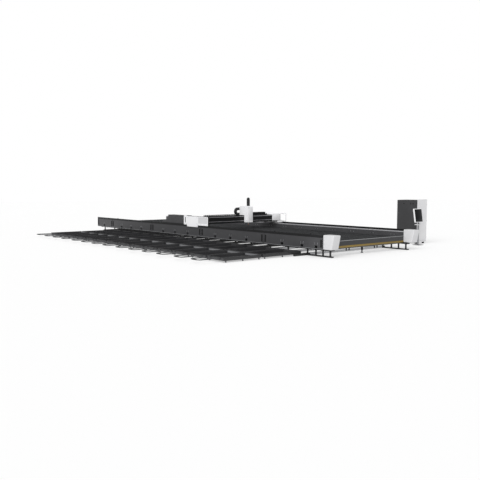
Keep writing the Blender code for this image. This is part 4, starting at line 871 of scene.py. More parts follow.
def table_frame():
    """The frame round the table, and bearers along it that carry the slats between."""
    low, high = GRATE_LOW, GRATE_HIGH
    top = high[Z] - 8 * MM
    parts = [block((x, low[Y], low[Z]), (x + GRATE_RAIL, high[Y], top), 3 * MM, 1)
             for x in (low[X], high[X] - GRATE_RAIL)]
    parts += [block((low[X] + GRATE_RAIL, y, low[Z]),
                    (high[X] - GRATE_RAIL, y + GRATE_RAIL, top), 3 * MM, 1)
              for y in (low[Y], high[Y] - GRATE_RAIL)]
    parts += [block((x - BEARER_THICK / 2, low[Y] + 2 * MM, low[Z] + 4 * MM),
                    (x + BEARER_THICK / 2, high[Y] - 2 * MM, SLAT_TIP_Z - NOTCH_DROP), 1 * MM, 1)
              for x in np.linspace(low[X], high[X], BEARERS + 2)[1:-1]]
    return join(*parts)


slat_rows = np.arange(GRATE_LOW[Y] + GRATE_RAIL + SLAT_PITCH / 2, GRATE_HIGH[Y] - GRATE_RAIL, SLAT_PITCH)
piece("slats", spread(slat(GRATE_HIGH[X] - GRATE_RAIL + 2 * MM), slat_rows), "bed", SLAT_STEEL,
      ["slat_grate"])
piece("table_frame", table_frame(), "bed", FRAME_COAT)

# %% [markdown]
# Scrap drawers
#
# Fourteen carts stand pulled out on the left to catch slag. Each has two trays in line, folded from one
# sheet, on urethane wheels. A tray is a single wall profile swept round a rectangle: the profile climbs
# the outside, turns over a rolled rim and goes down the inside, and the floor closes it. A plate doubles
# each of the outer tray's two end walls. The one on the inner end wall is light grey, a painted highlight
# where that wall faces the light. A bent tube is the handle. All fourteen carts are the same arrays
# moved to fourteen places, but every one is its own set of objects because it slides alone.

# %%
INNER_LENGTH, OUTER_LENGTH = 1.76, 1.54
TRAY_GAP = 70 * MM
TRAY_FLOOR = 55 * MM
TRAY_TOP = 160 * MM
RIM = 14 * MM
SHEET = 3 * MM
TRAY_CORNER = 12 * MM
WHEEL_RADIUS = 28.5 * MM
HANDLE_TUBE = 15 * MM
HANDLE_HALF, HANDLE_BEND = 0.25, 0.10
GRIP_HALF = 0.11
BEAD_HALF = 12 * MM


def ring_of(half_x, half_y, radius, steps=3):
    """Corner-rounded rectangle about the origin, as points anticlockwise from the right."""
    quarter = np.linspace(0, np.pi / 2, steps + 1)
    angle = (quarter[None] + np.arange(4)[:, None] * np.pi / 2).ravel()
    sign = np.repeat([(1, 1), (-1, 1), (-1, -1), (1, -1)], steps + 1, axis=0)
    round_part = radius * np.stack([np.cos(angle), np.sin(angle)], -1)
    return sign * (np.array((half_x, half_y)) - radius) + round_part


def tray(half_x, half_y):
    """Outset and height pairs walk from the floor's underside over the rim to the floor's top."""
    rim, sheet = RIM / MM, SHEET / MM
    profile = np.array([(-6, 0), (0, 5), (0, 96), (3, 96), (rim, 96), (rim, 101), (rim - 3, 105),
                        (2, 105), (-2, 103), (-sheet, 98), (-sheet, 8), (-9, 3.5)]) * MM
    rows = []
    for outset, height in profile:
        reach = outset - RIM
        flat = ring_of(half_x + reach, half_y + reach, max(TRAY_CORNER + reach, 1 * MM))
        rows.append(np.column_stack([flat, np.full(len(flat), TRAY_FLOOR + height)]))
    return lofted(rows)


def wheel():
    """Urethane tread on a cast hub, with the tread's edges rounded."""
    half = 11 * MM
    return turned([(19 * MM, -half), (26 * MM, -half), (WHEEL_RADIUS, -half + 3 * MM),
                   (WHEEL_RADIUS, half - 3 * MM), (26 * MM, half), (19 * MM, half)], 20, axis=Y)


def wheel_gear():
    """Hub, axle bolt and a fork of two bent plates for one wheel, around the wheel's centre."""
    hub = turned([(19 * MM, -9 * MM), (19 * MM, 9 * MM)], 16, axis=Y)
    axle = turned([(6 * MM, -19 * MM), (6 * MM, 19 * MM)], 10, axis=Y)
    nuts = [turned([(10 * MM, near), (10 * MM, far)], 6, axis=Y)
            for near, far in ((-19 * MM, -14 * MM), (14 * MM, 19 * MM))]
    plates = [block((-15 * MM, y - 1.5 * MM, -8 * MM), (15 * MM, y + 1.5 * MM, TRAY_FLOOR - WHEEL_RADIUS),
                    1 * MM, 1) for y in (-14 * MM, 14 * MM)]
    return join(hub, axle, *nuts, *plates)


def handle_path(half_width, reach, corner, height):
    """A U of tube: out along X, round two corners, and back. Arcs join the straight runs."""
    arc = np.linspace(0, np.pi / 2, 8)
    left = np.column_stack([-reach + corner - corner * np.sin(arc),
                            -half_width + corner - corner * np.cos(arc)])
    right = left[::-1] * (1, -1)
    flat = np.concatenate([[(0, -half_width)], left, right, [(0, half_width)]])
    return np.column_stack([flat, np.full(len(flat), height)])


drawer_low, drawer_high = corners("scrap_drawer_01")
DRAWER_HALF = (drawer_high[Y] - drawer_low[Y]) / 2
TRAY_RIGHT = drawer_high[X]
TRAY_END = TRAY_RIGHT - INNER_LENGTH - TRAY_GAP - OUTER_LENGTH
TRAY_SPANS = [(TRAY_RIGHT - INNER_LENGTH / 2, INNER_LENGTH), (TRAY_END + OUTER_LENGTH / 2, OUTER_LENGTH)]
WHEEL_INSET = 90 * MM
WHEEL_LINE = DRAWER_HALF - 22 * MM
WHEEL_PLACES = [(middle + step * (length / 2 - WHEEL_INSET), side * WHEEL_LINE, WHEEL_RADIUS)
                for middle, length in TRAY_SPANS for step in (-1, 0, 1) for side in (-1, 1)]
HANDLE_Z = TRAY_FLOOR + 75 * MM


def tray_pair():
    """Two trays, each with three stiffening beads across its floor."""
    parts = []
    for middle, length in TRAY_SPANS:
        parts.append(many(tray(length / 2, DRAWER_HALF), [(middle, 0, 0)]))
        for offset in np.linspace(-0.5, 0.5, 3):
            low = (middle + offset - BEAD_HALF, -DRAWER_HALF + 60 * MM, TRAY_FLOOR + 1 * MM)
            high = (middle + offset + BEAD_HALF, DRAWER_HALF - 60 * MM, TRAY_FLOOR + 8 * MM)
            parts.append(block(low, high, 5 * MM, 2))
    return join(*parts)


def divider():
    """A light grey plate that doubles the inner end wall of the outer tray: painted highlight where that
    wall faces the light.
    """
    face = TRAY_END + OUTER_LENGTH - RIM - SHEET
    return block((face - 3 * MM, -DRAWER_HALF + 90 * MM, TRAY_FLOOR + 30 * MM),
                 (face + 1 * MM, DRAWER_HALF - 90 * MM, TRAY_TOP - 16 * MM), 1.5 * MM, 1)


def front_plate():
    """The grey plate that stiffens the outer tray's front wall, behind the handle."""
    face = TRAY_END + RIM
    return block((face - 5 * MM, -DRAWER_HALF + 40 * MM, TRAY_FLOOR + 2 * MM),
                 (face + 1 * MM, DRAWER_HALF - 40 * MM, TRAY_TOP - 16 * MM), 2 * MM, 2)


def hitch_and_handle():
    """Two link bars with pins between the trays, and the bent handle with its flanges."""
    parts = []
    link_x = TRAY_RIGHT - INNER_LENGTH - TRAY_GAP / 2
    for y in (-HANDLE_HALF, HANDLE_HALF):
        parts += [block((link_x - TRAY_GAP / 2 - 10 * MM, y - 15 * MM, TRAY_FLOOR + 45 * MM),
                        (link_x + TRAY_GAP / 2 + 10 * MM, y + 15 * MM, TRAY_FLOOR + 60 * MM), 2 * MM, 1),
                  turned([(9 * MM, 0), (9 * MM, 12 * MM), (7 * MM, 14 * MM)], 12,
                         (link_x, y, TRAY_FLOOR + 58 * MM))]
    reach = TRAY_END - drawer_low[X] - HANDLE_TUBE
    path = handle_path(HANDLE_HALF, reach, HANDLE_BEND, HANDLE_Z) + (TRAY_END, 0, 0)
    parts.append(tube(path, HANDLE_TUBE, 14))
    for y in (-HANDLE_HALF, HANDLE_HALF):
        parts += [turned([(32 * MM, -6 * MM), (32 * MM, -1 * MM), (18 * MM, 0)], 18,
                         (TRAY_END + 4 * MM + RIM, y, HANDLE_Z), X),
                  turned([(21 * MM, -30 * MM), (21 * MM, 0)], 16, (TRAY_END + RIM, y, HANDLE_Z), X)]
    return join(*parts)


def handle_grip():
    """A vinyl sleeve over the middle of the handle's far bar."""
    path = np.column_stack([np.full(9, drawer_low[X] + HANDLE_TUBE),
                            np.linspace(-GRIP_HALF, GRIP_HALF, 9), np.full(9, HANDLE_Z)])
    return tube(path, HANDLE_TUBE + 3 * MM, 14)


TRAYS = tray_pair()
TRAY_KIT = {"divider": (divider(), DIVIDER_HIGHLIGHT_COAT),
            "front_plate": (front_plate(), BED_COAT),
            "handle": (hitch_and_handle(), HANDLE_TUBE_STEEL),
            "handle_grip": (handle_grip(), HANDLE_GRIP),
            "wheels": (many(wheel(), WHEEL_PLACES), WHEEL_URETHANE),
            "wheel_forks": (many(wheel_gear(), WHEEL_PLACES), ZINC)}
for number in range(1, 15):
    name, body = "scrap_drawer_%02d" % number, "drawer_%02d" % number
    low, high = corners(name)
    middle = [(low[Y] + high[Y]) / 2]
    piece("trays_%02d" % number, spread(TRAYS, middle), body, TRAY_COAT, [name])
    for kind, (shape, finish) in TRAY_KIT.items():
        piece("%s_%02d" % (kind, number), spread(shape, middle), body, finish)

# %% [markdown]
# Floor frames and levelling feet
#
# The frames under the beams already have the right posts, sills and guide bars, so they only take a coat.
# The foot in the middle of the front frame stands in view, so it gains a sleeve, a lock nut and a collar.
# The coat of the front frame reads where it is: the same solid is black at its ends and light grey on
# the bars between the beams, painted light that brightens the shaded space under the skirt and the bed,
# so three comparisons of the place pick one colour or the other.

# %%
def front_frame_coat():
    """The frames' black coat, but light grey on the tie and floor bars between the beams: painted light
    that brightens the shaded space under the skirt and the bed.
    """
    material, shader, place = start("front_frame_coat", 0.5)
    spot = node(material, "SeparateXYZ", Vector=place)
    side = node(material, "Math", {"operation": "ABSOLUTE"}, I0=spot.outputs["X"])
    between = node(material, "Math", {"operation": "LESS_THAN"}, I0=side.outputs[0], I1=TIE_REACH)
    above = node(material, "Math", {"operation": "GREATER_THAN"}, I0=spot.outputs["Z"], I1=SILL_FLOOR)
    behind = node(material, "Math", {"operation": "GREATER_THAN"}, I0=spot.outputs["Y"], I1=BAR_START)
    either = node(material, "Math", {"operation": "MAXIMUM"}, I0=above.outputs[0], I1=behind.outputs[0])
    tie = node(material, "Math", {"operation": "MULTIPLY"}, I0=between.outputs[0], I1=either.outputs[0])
    slow = node(material, "TexNoise", Vector=place, Scale=1 / CLOUD_SIZE, Detail=5.0)
    black = node(material, "Mix", {"data_type": "RGBA"}, I0=slow.outputs["Fac"], I6=linear("#141415"),
                 I7=linear("#1D1D1F"))
    # The light grey between the beams is painted light for the shaded bars under the skirt and the bed.
    mixed = node(material, "Mix", {"data_type": "RGBA"}, I0=tie.outputs[0], I6=black.outputs[2],
                 I7=linear("#C2C3C5"))
    plug(material, mixed.outputs[2], shader, "Base Color")
    fine = node(material, "TexNoise", Vector=place, Scale=1 / PEEL_SIZE, Detail=2.0)
    bump = node(material, "Bump", Height=fine.outputs["Fac"], Strength=0.12, Distance=PEEL_SIZE / 10)
    plug(material, bump.outputs["Normal"], shader, "Normal")
    return material


SILL_FLOOR = 223 * MM
TIE_REACH = corners("front_skirt")[1][X] - 20 * MM
BAR_START = 0.20
for name in NODES:
    if name.startswith("floor_frame_"):
        coated(name, front_frame_coat() if name == "floor_frame_1" else FRAME_COAT)

nut_low, nut_high = SILL_FLOOR - 22 * MM, SILL_FLOOR - 4 * MM
washer_low = SILL_FLOOR - 26 * MM
sleeve = turned([(30 * MM, 95 * MM), (38 * MM, 105 * MM), (38 * MM, washer_low)], 24)
nut = turned([(34 * MM, nut_low), (34 * MM, nut_high), (30 * MM, SILL_FLOOR)], 6)
washer = turned([(38 * MM, washer_low), (38 * MM, nut_low)], 24)
collar = turned([(26 * MM, 13 * MM), (26 * MM, 18 * MM), (28 * MM, 32 * MM), (23 * MM, 38 * MM)], 24)
piece("foot_nut", join(sleeve, nut, washer, collar), "bed", BLACK_OXIDE)

# %% [markdown]
# End caps, skirt and stripe
#
# White fibreglass-like caps close the beams' front ends. A cap is one skin: at each depth a rounded
# rectangle, whose lower edge slopes back near the front face. Stacking those sections along Y gives the
# shell, and a Solidify modifier could thicken it, but the cap is closed at both ends here, so it is solid.
# A shallow groove marks where the cap's front panel meets its side. The skirt between the caps is a
# folded sheet with a light grey strip along its top fold, a painted highlight, and a raised gold stripe.
# The stripe and the highlight strip are pieces of their own because they have their own colours.

# %%
CAP_RAKE = 0.10
CAP_EDGE = 30 * MM
GROOVE = 4 * MM
SKIRT_LIP = 60 * MM
STRIPE_HALF = 35 * MM
STRIPE_MIDDLE = 319 * MM
STRIPE_PROUD = 8 * MM
SKIRT_LOW, SKIRT_HIGH = corners("front_skirt")
SKIRT_FACE = SKIRT_LOW[Y] + STRIPE_PROUD
SKIRT_JOINT = 0.667
CAP_LOW, CAP_HIGH = corners("right_end_cap")


def end_cap():
    """Right cap: rounded sections from the front face back to the beam, raked at the bottom."""
    half, rise, back = (CAP_HIGH[X] - CAP_LOW[X]) / 2, CAP_HIGH[Z] - CAP_LOW[Z], CAP_HIGH[Y] - CAP_LOW[Y]
    centre = np.array(((CAP_LOW[X] + CAP_HIGH[X]) / 2, (CAP_LOW[Z] + CAP_HIGH[Z]) / 2))
    angle = np.linspace(0, np.pi / 2, 5)
    stations = [(CAP_EDGE * (1 - np.sin(a)), CAP_EDGE * (1 - np.cos(a))) for a in angle]
    stations += [(0.0, 0.12), (0.0, 0.124), (GROOVE / 2, 0.126), (GROOVE / 2, 0.130), (0.0, 0.132),
                 (0.0, back)]
    rows = []
    for inset, depth in stations:
        flat = ring_of(half - inset, rise / 2 - inset, max(CAP_EDGE - inset, 4 * MM), 4) + centre
        share = (CAP_HIGH[Z] - flat[:, 1]) / rise
        y = CAP_LOW[Y] + depth + CAP_RAKE * share ** 1.5 * (1 - depth / back)
        rows.append(np.column_stack([flat[:, 0], y, flat[:, 1]]))
    return lofted(rows)


def cap_screws():
    """Four countersunk screws along the cap's outer side and two on top."""
    head = [(8 * MM, -1 * MM), (8 * MM, 1 * MM), (6 * MM, 1.6 * MM)]
    line = CAP_HIGH[Y] - 30 * MM
    side = [(CAP_HIGH[X], line, z) for z in np.linspace(CAP_LOW[Z] + 60 * MM, CAP_HIGH[Z] - 60 * MM, 4)]
    top = [(x, line, CAP_HIGH[Z]) for x in (CAP_LOW[X] + 80 * MM, CAP_HIGH[X] - 80 * MM)]
    return join(many(turned(head, 14, axis=X), side), many(turned(head, 14), top))


def skirt():
    """Folded sheet: an outline in Y and Z carried along X, with a lip at the top and a hem below."""
    thick, radius, hem = 4 * MM, 6 * MM, 22 * MM
    face, floor, top = SKIRT_FACE, SKIRT_LOW[Z], SKIRT_HIGH[Z]
    outline = [(face, floor + 2 * MM), (face + 2 * MM, floor), (face + hem, floor),
               (face + hem, floor + thick), (face + thick, floor + thick), (face + thick, top - thick),
               (face + SKIRT_LIP, top - thick), (face + SKIRT_LIP, top), (face + radius, top),
               (face + radius * 0.3, top - radius * 0.3), (face, top - radius)]
    return extruded(np.array(outline)[::-1], X, SKIRT_LOW[X], SKIRT_HIGH[X])


def stripe():
    """The gold stripe, a strip with a bulged front that stands proud of the skirt."""
    angle = np.linspace(-np.pi / 2, np.pi / 2, 13)
    bulge = np.stack([SKIRT_FACE - STRIPE_PROUD * np.cos(angle),
                      STRIPE_MIDDLE + STRIPE_HALF * np.sin(angle)], -1)
    back = [(SKIRT_FACE + 1 * MM, STRIPE_MIDDLE + side * STRIPE_HALF) for side in (1, -1)]
    return extruded(np.concatenate([bulge, back]), X, SKIRT_LOW[X] + 1 * MM, SKIRT_HIGH[X] - 1 * MM)


def skirt_fittings():
    """Rivets along the skirt's upper edge and cover strips over the two joints of its sheets."""
    rivet = flipped(turned([(7 * MM, -1 * MM), (6 * MM, 2 * MM), (3 * MM, 3.4 * MM)], 12, axis=Y), Y)
    across = np.linspace(SKIRT_LOW[X] + 0.12, SKIRT_HIGH[X] - 0.12, 17)
    strip = block((-22 * MM, SKIRT_FACE - 2.5 * MM, STRIPE_MIDDLE + STRIPE_HALF + 6 * MM),
                  (22 * MM, SKIRT_FACE + 1 * MM, SKIRT_HIGH[Z] - 8 * MM), 1.5 * MM, 1)
    return join(many(rivet, [(x, SKIRT_FACE, SKIRT_HIGH[Z] - 28 * MM) for x in across]),
                many(strip, [(x, 0, 0) for x in (-SKIRT_JOINT, SKIRT_JOINT)]))


cap, screws = end_cap(), cap_screws()
for side in SIDES:
    piece(side + "_cap", handed(cap, side), "bed", CAP_COAT, [side + "_end_cap"])
    piece(side + "_cap_screws", handed(screws, side), "bed", ZINC)
piece("skirt", skirt(), "bed", SKIRT_COAT, ["front_skirt"])
piece("gold_stripe", stripe(), "bed", GOLD_COAT)
# A light grey strip along the skirt's top fold: painted highlight where the fold catches the light.
fold_highlight = block((SKIRT_LOW[X] + 2 * MM, SKIRT_FACE - 2 * MM, SKIRT_HIGH[Z] - 15 * MM),
             (SKIRT_HIGH[X] - 2 * MM, SKIRT_FACE + 5 * MM, SKIRT_HIGH[Z] + 1 * MM), 1.5 * MM, 2)
piece("skirt_trim", fold_highlight, "bed", EDGE_HIGHLIGHT_COAT)
piece("skirt_fittings", skirt_fittings(), "bed", SKIRT_COAT)

# %% [markdown]
# The gantry beam and its trucks
#
# The beam is a welded box, so its solid keeps its shape. In front it carries two ground rails for the
# carriage. On its ends sit the trucks, which run on ball blocks. The blocks, bolts and cover strips below
# are what a fitter would see, placed from the corners of the solids.

# %%
for name, finish in (("crossbeam", GANTRY_COAT), ("left_truck", GANTRY_COAT),
                     ("right_truck", WHITE_COAT), ("carriage_plate", MILLED_ALUMINIUM)):
    coated(name, finish)

BEAM_LOW, BEAM_HIGH = corners("crossbeam")
CROSS_LOW, CROSS_HIGH = corners("x_rail")
BALL_BLOCK_WIDTH = 75 * MM
BALL_BLOCK_LENGTH = 160 * MM
BALL_BLOCK_RISE = 36 * MM
BALL_CAP = 18 * MM
BALL_LINE = 2.06
BALL_PLACES = (("left_truck", -1, (0.16, 1.16, 3.06)), ("right_truck", 1, (0.16, 1.06)))
LOWER_RAIL_DROP = 190 * MM
RAIL_MIDDLE = (CROSS_LOW[Z] + CROSS_HIGH[Z]) / 2
PLATE_SEAM = 0.9
SOLE_START = 0.45
TOP_BOLT_X = np.arange(-1.85, 1.6, 0.23)
FRONT_BOLT_X = np.arange(-1.8, 1.6, 0.4)


def cross_rail():
    """A ball rail that faces forward: foot, waist and head, drawn in Y and Z and carried along X."""
    back, front = CROSS_HIGH[Y], CROSS_LOW[Y]
    reach = back - front
    half = (CROSS_HIGH[Z] - CROSS_LOW[Z]) / 2
    upper = [(back, half), (back - reach * 0.35, half), (back - reach * 0.5, half * 0.72),
             (back - reach * 0.68, half * 0.72), (back - reach * 0.8, half), (front, half * 0.86)]
    lower = [(y, -z) for y, z in upper[::-1]]
    outline = np.array(upper + lower) + (0, RAIL_MIDDLE)
    return extruded(outline, X, CROSS_LOW[X], CROSS_HIGH[X])


def rail_screws():
    """Socket screws in the cross rails, every 100 mm."""
    head = [(4.5 * MM, -1 * MM), (4.5 * MM, 0.5 * MM), (3.5 * MM, 0.8 * MM)]
    across = np.arange(CROSS_LOW[X] + 50 * MM, CROSS_HIGH[X], 100 * MM)
    heights = (RAIL_MIDDLE, RAIL_MIDDLE - LOWER_RAIL_DROP)
    return many(flipped(turned(head, 10, axis=Y), Y),
                [(x, CROSS_LOW[Y], z) for x in across for z in heights])


rails = many(cross_rail(), [(0, 0, 0), (0, 0, -LOWER_RAIL_DROP)])
piece("cross_rails", rails, "gantry", X_RAIL_STEEL, ["x_rail"])
piece("cross_rail_screws", rail_screws(), "gantry", BLACK_OXIDE)

seam = block((-3 * MM, BEAM_LOW[Y] - 2 * MM, BEAM_LOW[Z] + 6 * MM),
             (3 * MM, BEAM_LOW[Y] + 2 * MM, BEAM_HIGH[Z] - 6 * MM), 1 * MM, 1)
top_strip = block((CROSS_LOW[X], BEAM_LOW[Y] + 12 * MM, BEAM_HIGH[Z] - 1 * MM),
                  (CROSS_HIGH[X], BEAM_LOW[Y] + 60 * MM, BEAM_HIGH[Z] + 3 * MM), 1 * MM, 1)
top_bolts = many(bolt(9 * MM, 7 * MM, Z),
                 [(x, BEAM_HIGH[Y] - 40 * MM, BEAM_HIGH[Z]) for x in TOP_BOLT_X])
front_bolts = many(flipped(bolt(8 * MM, 6 * MM, Y), Y),
                   [(x, BEAM_LOW[Y], BEAM_LOW[Z] + 20 * MM) for x in FRONT_BOLT_X])
piece("beam_strips", join(many(seam, [(-PLATE_SEAM, 0, 0), (PLATE_SEAM, 0, 0)]), top_strip), "gantry",
      GANTRY_COAT)
sole_end = corners("right_truck_cover")[0][X] - 6 * MM
sole = block((BEAM_LOW[X] + SOLE_START, BEAM_LOW[Y] + 2 * MM, BEAM_LOW[Z] - 36 * MM),
             (sole_end, BEAM_LOW[Y] + 60 * MM, BEAM_LOW[Z] + 2 * MM), 3 * MM, 2)
piece("beam_sole_strip", sole, "gantry", GANTRY_COAT)
piece("beam_bolts", join(top_bolts, front_bolts), "gantry", BLACK_OXIDE)


def ball_block(x, y, bottom, top):
    """A runner block: a steel body with a plastic cap on each end."""
    half_x, half_y = BALL_BLOCK_WIDTH / 2 + 1 * MM, BALL_BLOCK_LENGTH / 2 + 1 * MM
    body = block((x - half_x, y - half_y + BALL_CAP, bottom), (x + half_x, y + half_y - BALL_CAP, top),
                 2 * MM, 1)
    caps = [block((x - half_x + 3 * MM, low, bottom + 1 * MM),
                  (x + half_x - 3 * MM, low + 17 * MM, top - 3 * MM), 3 * MM, 2)
            for low in (y - half_y, y + half_y - 17 * MM)]
    return body, join(*caps)


bodies, caps = [], []
for truck, side, places in BALL_PLACES:
    low, high = corners(truck)
    for inset in places:
        body, ends = ball_block(side * BALL_LINE, low[Y] + inset, low[Z], low[Z] + BALL_BLOCK_RISE)
        bodies.append(body)
        caps.append(ends)
piece("ball_blocks", join(*bodies), "gantry", RAIL_STEEL)
piece("ball_block_caps", join(*caps), "gantry", CHAIN_NYLON)

# %% [markdown]
# Covers on the gantry's ends
#
# The left end has a white motor cover, a white side plate with a sunken grey panel, and an arm whose long
# slot guides the cables. Behind it a dark box steps down to the rear. Sheet parts with openings are slabs:
# the openings' edges cut the plate into cells, and empty cells are dropped. A small Bevel modifier
# rounds their edges, which is less work than rounding every hole by hand.

# %%
COVER_LOW, COVER_HIGH = corners("left_truck_cover")
PLATE_THICK = 12 * MM
PLATE_TOP = 1.12
PLATE_FOOT = 0.75
COVER_FLOOR, COVER_CROWN = 0.83, 1.09
COVER_LENGTH = 0.46
COVER_FRONT = BEAM_HIGH[Y]
COVER_BACK = COVER_FRONT + COVER_LENGTH
PANEL_BORDER, PANEL_END = 35 * MM, 0.695
PANEL = (COVER_LOW[Y] + PANEL_BORDER, COVER_LOW[Y] + PANEL_END, COVER_FLOOR, PLATE_TOP - PANEL_BORDER)
outer, inner = COVER_LOW[X], COVER_LOW[X] + PLATE_THICK
slot_y, slot_z = (COVER_BACK + COVER_HIGH[Y]) / 2, (PLATE_FOOT + COVER_HIGH[Z]) / 2
SLOT = (slot_y - 30 * MM, slot_y + 30 * MM, slot_z - 0.12, slot_z + 0.12)

side_plate = slab(X, (outer, COVER_LOW[Y], PLATE_FOOT), (inner, COVER_BACK - 4 * MM, PLATE_TOP), [PANEL])
drop_plate = slab(X, (outer, PANEL[1] + PANEL_BORDER, COVER_LOW[Z]),
                  (inner, COVER_BACK - 8 * MM, PLATE_FOOT))
arm = slab(X, (outer, COVER_BACK - 4 * MM, PLATE_FOOT), (inner, COVER_HIGH[Y], COVER_HIGH[Z]), [SLOT])
sunken = block((outer + 6 * MM, PANEL[0] - 5 * MM, PANEL[2] - 5 * MM),
               (inner - 1 * MM, PANEL[1] + 5 * MM, PANEL[3] + 5 * MM), 1 * MM, 1)
motor_cover = block((inner - 1 * MM, COVER_FRONT, COVER_FLOOR), (COVER_HIGH[X], COVER_BACK, COVER_CROWN),
                    14 * MM, 4)
lid = block((outer + 30 * MM, COVER_FRONT + 30 * MM, COVER_CROWN - 2 * MM),
            (COVER_HIGH[X] - 30 * MM, COVER_BACK - 30 * MM, COVER_CROWN + 4 * MM), 5 * MM, 3)
piece("left_motor_cover", join(motor_cover, lid), "gantry", WHITE_COAT,
      ["left_truck_cover"])
piece("left_side_plate", join(side_plate, drop_plate, arm), "gantry", WHITE_COAT,
      edge=2 * MM)
piece("left_sunken_panel", sunken, "gantry", LIGHT_COAT)

outer_bolt = bolt(9 * MM, 7 * MM, X, -1)
plate_edges = [(outer, y, z) for y in np.linspace(COVER_LOW[Y] + 0.08, PANEL[1], 4)
               for z in (PLATE_FOOT + 30 * MM, PLATE_TOP - 17 * MM)]
plate_edges += [(outer, y, z) for y in (COVER_BACK - 80 * MM, PANEL[1] + 90 * MM)
                for z in (COVER_LOW[Z] + 25 * MM, COVER_FLOOR - 20 * MM, COVER_CROWN - 30 * MM)]
plate_edges += [(outer, y, z) for y in (COVER_BACK + 35 * MM, COVER_HIGH[Y] - 35 * MM)
                for z in (PLATE_FOOT + 35 * MM, COVER_HIGH[Z] - 35 * MM)]
lid_screw = turned([(6 * MM, -1 * MM), (6 * MM, 2 * MM), (4 * MM, 3 * MM)], 12)
lid_screws = many(lid_screw, [(x, y, COVER_CROWN + 4 * MM)
                              for x in (outer + 50 * MM, COVER_HIGH[X] - 50 * MM)
                              for y in (COVER_FRONT + 50 * MM, COVER_BACK - 50 * MM)])
piece("left_cover_bolts", join(many(outer_bolt, plate_edges), lid_screws), "gantry", ZINC)

BOX_LOW, BOX_HIGH = corners("rear_cable_box")
STEPS = ((1.44, 1.12), (1.62, 0.95), (1.91, 0.86))
BOX_REACH, BOX_TOP = STEPS[0]
VENT_SPANS = ((0.12, 0.36), (0.60, 0.84), (1.06, 1.30))
VENT_FLOOR, VENT_TOP = 0.90, 1.02
LOUVRE_HIGH, LOUVRE_PROUD = 14 * MM, 7 * MM


def stepped_box():
    """Side view of the box as an outline in Y and Z, with a small chamfer at each outer corner."""
    chamfer = 6 * MM
    start = BOX_LOW[Y]
    outline = [(start, BOX_LOW[Z])]
    for (reach, top), floor in zip(STEPS[::-1], (BOX_LOW[Z], STEPS[2][1], STEPS[1][1])):
        outline += [(start + reach, floor), (start + reach, top - chamfer),
                    (start + reach - chamfer, top)]
    outline.append((start, BOX_TOP))
    return extruded(outline, X, BOX_LOW[X], BOX_HIGH[X])


def louvres(x, y_low, y_high, z_low, z_high, rows, out):
    """Rows of pressed louvres on a side face: quarter-round hoods, longer than they are high."""
    arc = np.linspace(0, np.pi / 2, 5)
    root = x - out * 2 * MM
    curve = np.column_stack([x + out * LOUVRE_PROUD * np.sin(arc), LOUVRE_HIGH * np.cos(arc)])
    hood = np.concatenate([curve, [(root, 0), (root, LOUVRE_HIGH)]])
    return many(extruded(hood, Y, y_low, y_high), [(0, 0, z) for z in np.linspace(z_low, z_high, rows)])


box_side = [louvres(BOX_LOW[X], BOX_LOW[Y] + low, BOX_LOW[Y] + high, VENT_FLOOR, VENT_TOP, 5, -1)
            for low, high in VENT_SPANS]
lid_seam = block((BOX_LOW[X] - 2 * MM, BOX_LOW[Y] + 2 * MM, BOX_TOP - 42 * MM),
                 (BOX_HIGH[X] + 2 * MM, BOX_LOW[Y] + BOX_REACH + 2 * MM, BOX_TOP + 2 * MM), 4 * MM, 2)
box_screws = many(bolt(6 * MM, 4 * MM, X, -1), [(BOX_LOW[X] - 2 * MM, BOX_LOW[Y] + y, BOX_TOP - 20 * MM)
                                                for y in np.linspace(0.08, BOX_REACH - 0.08, 6)])
piece("cable_box", stepped_box(), "gantry", BED_COAT, ["rear_cable_box"])
piece("cable_box_lid", join(lid_seam, *box_side), "gantry", BED_COAT)
piece("cable_box_screws", box_screws, "gantry", ZINC)

RIGHT_LOW, RIGHT_HIGH = corners("right_truck_cover")
RPLATE_LOW, RPLATE_HIGH = corners("right_side_plate")
RPLATE_BORDER = 60 * MM
right_cover = block(RIGHT_LOW, RIGHT_HIGH, 16 * MM, 4)
crown = block((RIGHT_LOW[X] + 40 * MM, RIGHT_LOW[Y] + 40 * MM, RIGHT_HIGH[Z] - 2 * MM),
              (RIGHT_HIGH[X] - 40 * MM, RIGHT_HIGH[Y] - 40 * MM, RIGHT_HIGH[Z] + 4 * MM), 5 * MM, 3)
door_line = block((RIGHT_LOW[X] + 0.10, RIGHT_LOW[Y] - 3 * MM, RIGHT_LOW[Z] + 60 * MM),
                  (RIGHT_HIGH[X] - 0.13, RIGHT_LOW[Y] + 3 * MM, RIGHT_HIGH[Z] - 50 * MM), 2.5 * MM, 2)
piece("right_cover", join(right_cover, crown, door_line), "gantry", WHITE_COAT,
      ["right_truck_cover"])
inset = block((RIGHT_HIGH[X] - 100 * MM, RIGHT_LOW[Y] - 4 * MM, RIGHT_LOW[Z] + 20 * MM),
              (RIGHT_HIGH[X] - 16 * MM, RIGHT_LOW[Y] + 4 * MM, RIGHT_HIGH[Z] - 30 * MM), 3 * MM, 2)
piece("right_cover_inset", inset, "gantry", LIGHT_COAT)
window = (RPLATE_LOW[Y] + RPLATE_BORDER, RPLATE_HIGH[Y] - RPLATE_BORDER, RPLATE_LOW[Z] + RPLATE_BORDER,
          RPLATE_HIGH[Z] - RPLATE_BORDER)
right_plate = slab(X, (RPLATE_HIGH[X] - PLATE_THICK, RPLATE_LOW[Y], RPLATE_LOW[Z]), RPLATE_HIGH, [window])
flange = block((RPLATE_LOW[X], RIGHT_LOW[Y] + 14 * MM, RPLATE_HIGH[Z] - 52 * MM),
               (RPLATE_HIGH[X] - 2 * MM, RIGHT_HIGH[Y] - 14 * MM, RPLATE_HIGH[Z] - 12 * MM), 2 * MM, 1)
piece("right_plate", join(right_plate, flange), "gantry", WHITE_COAT,
      ["right_side_plate"], edge=2 * MM)
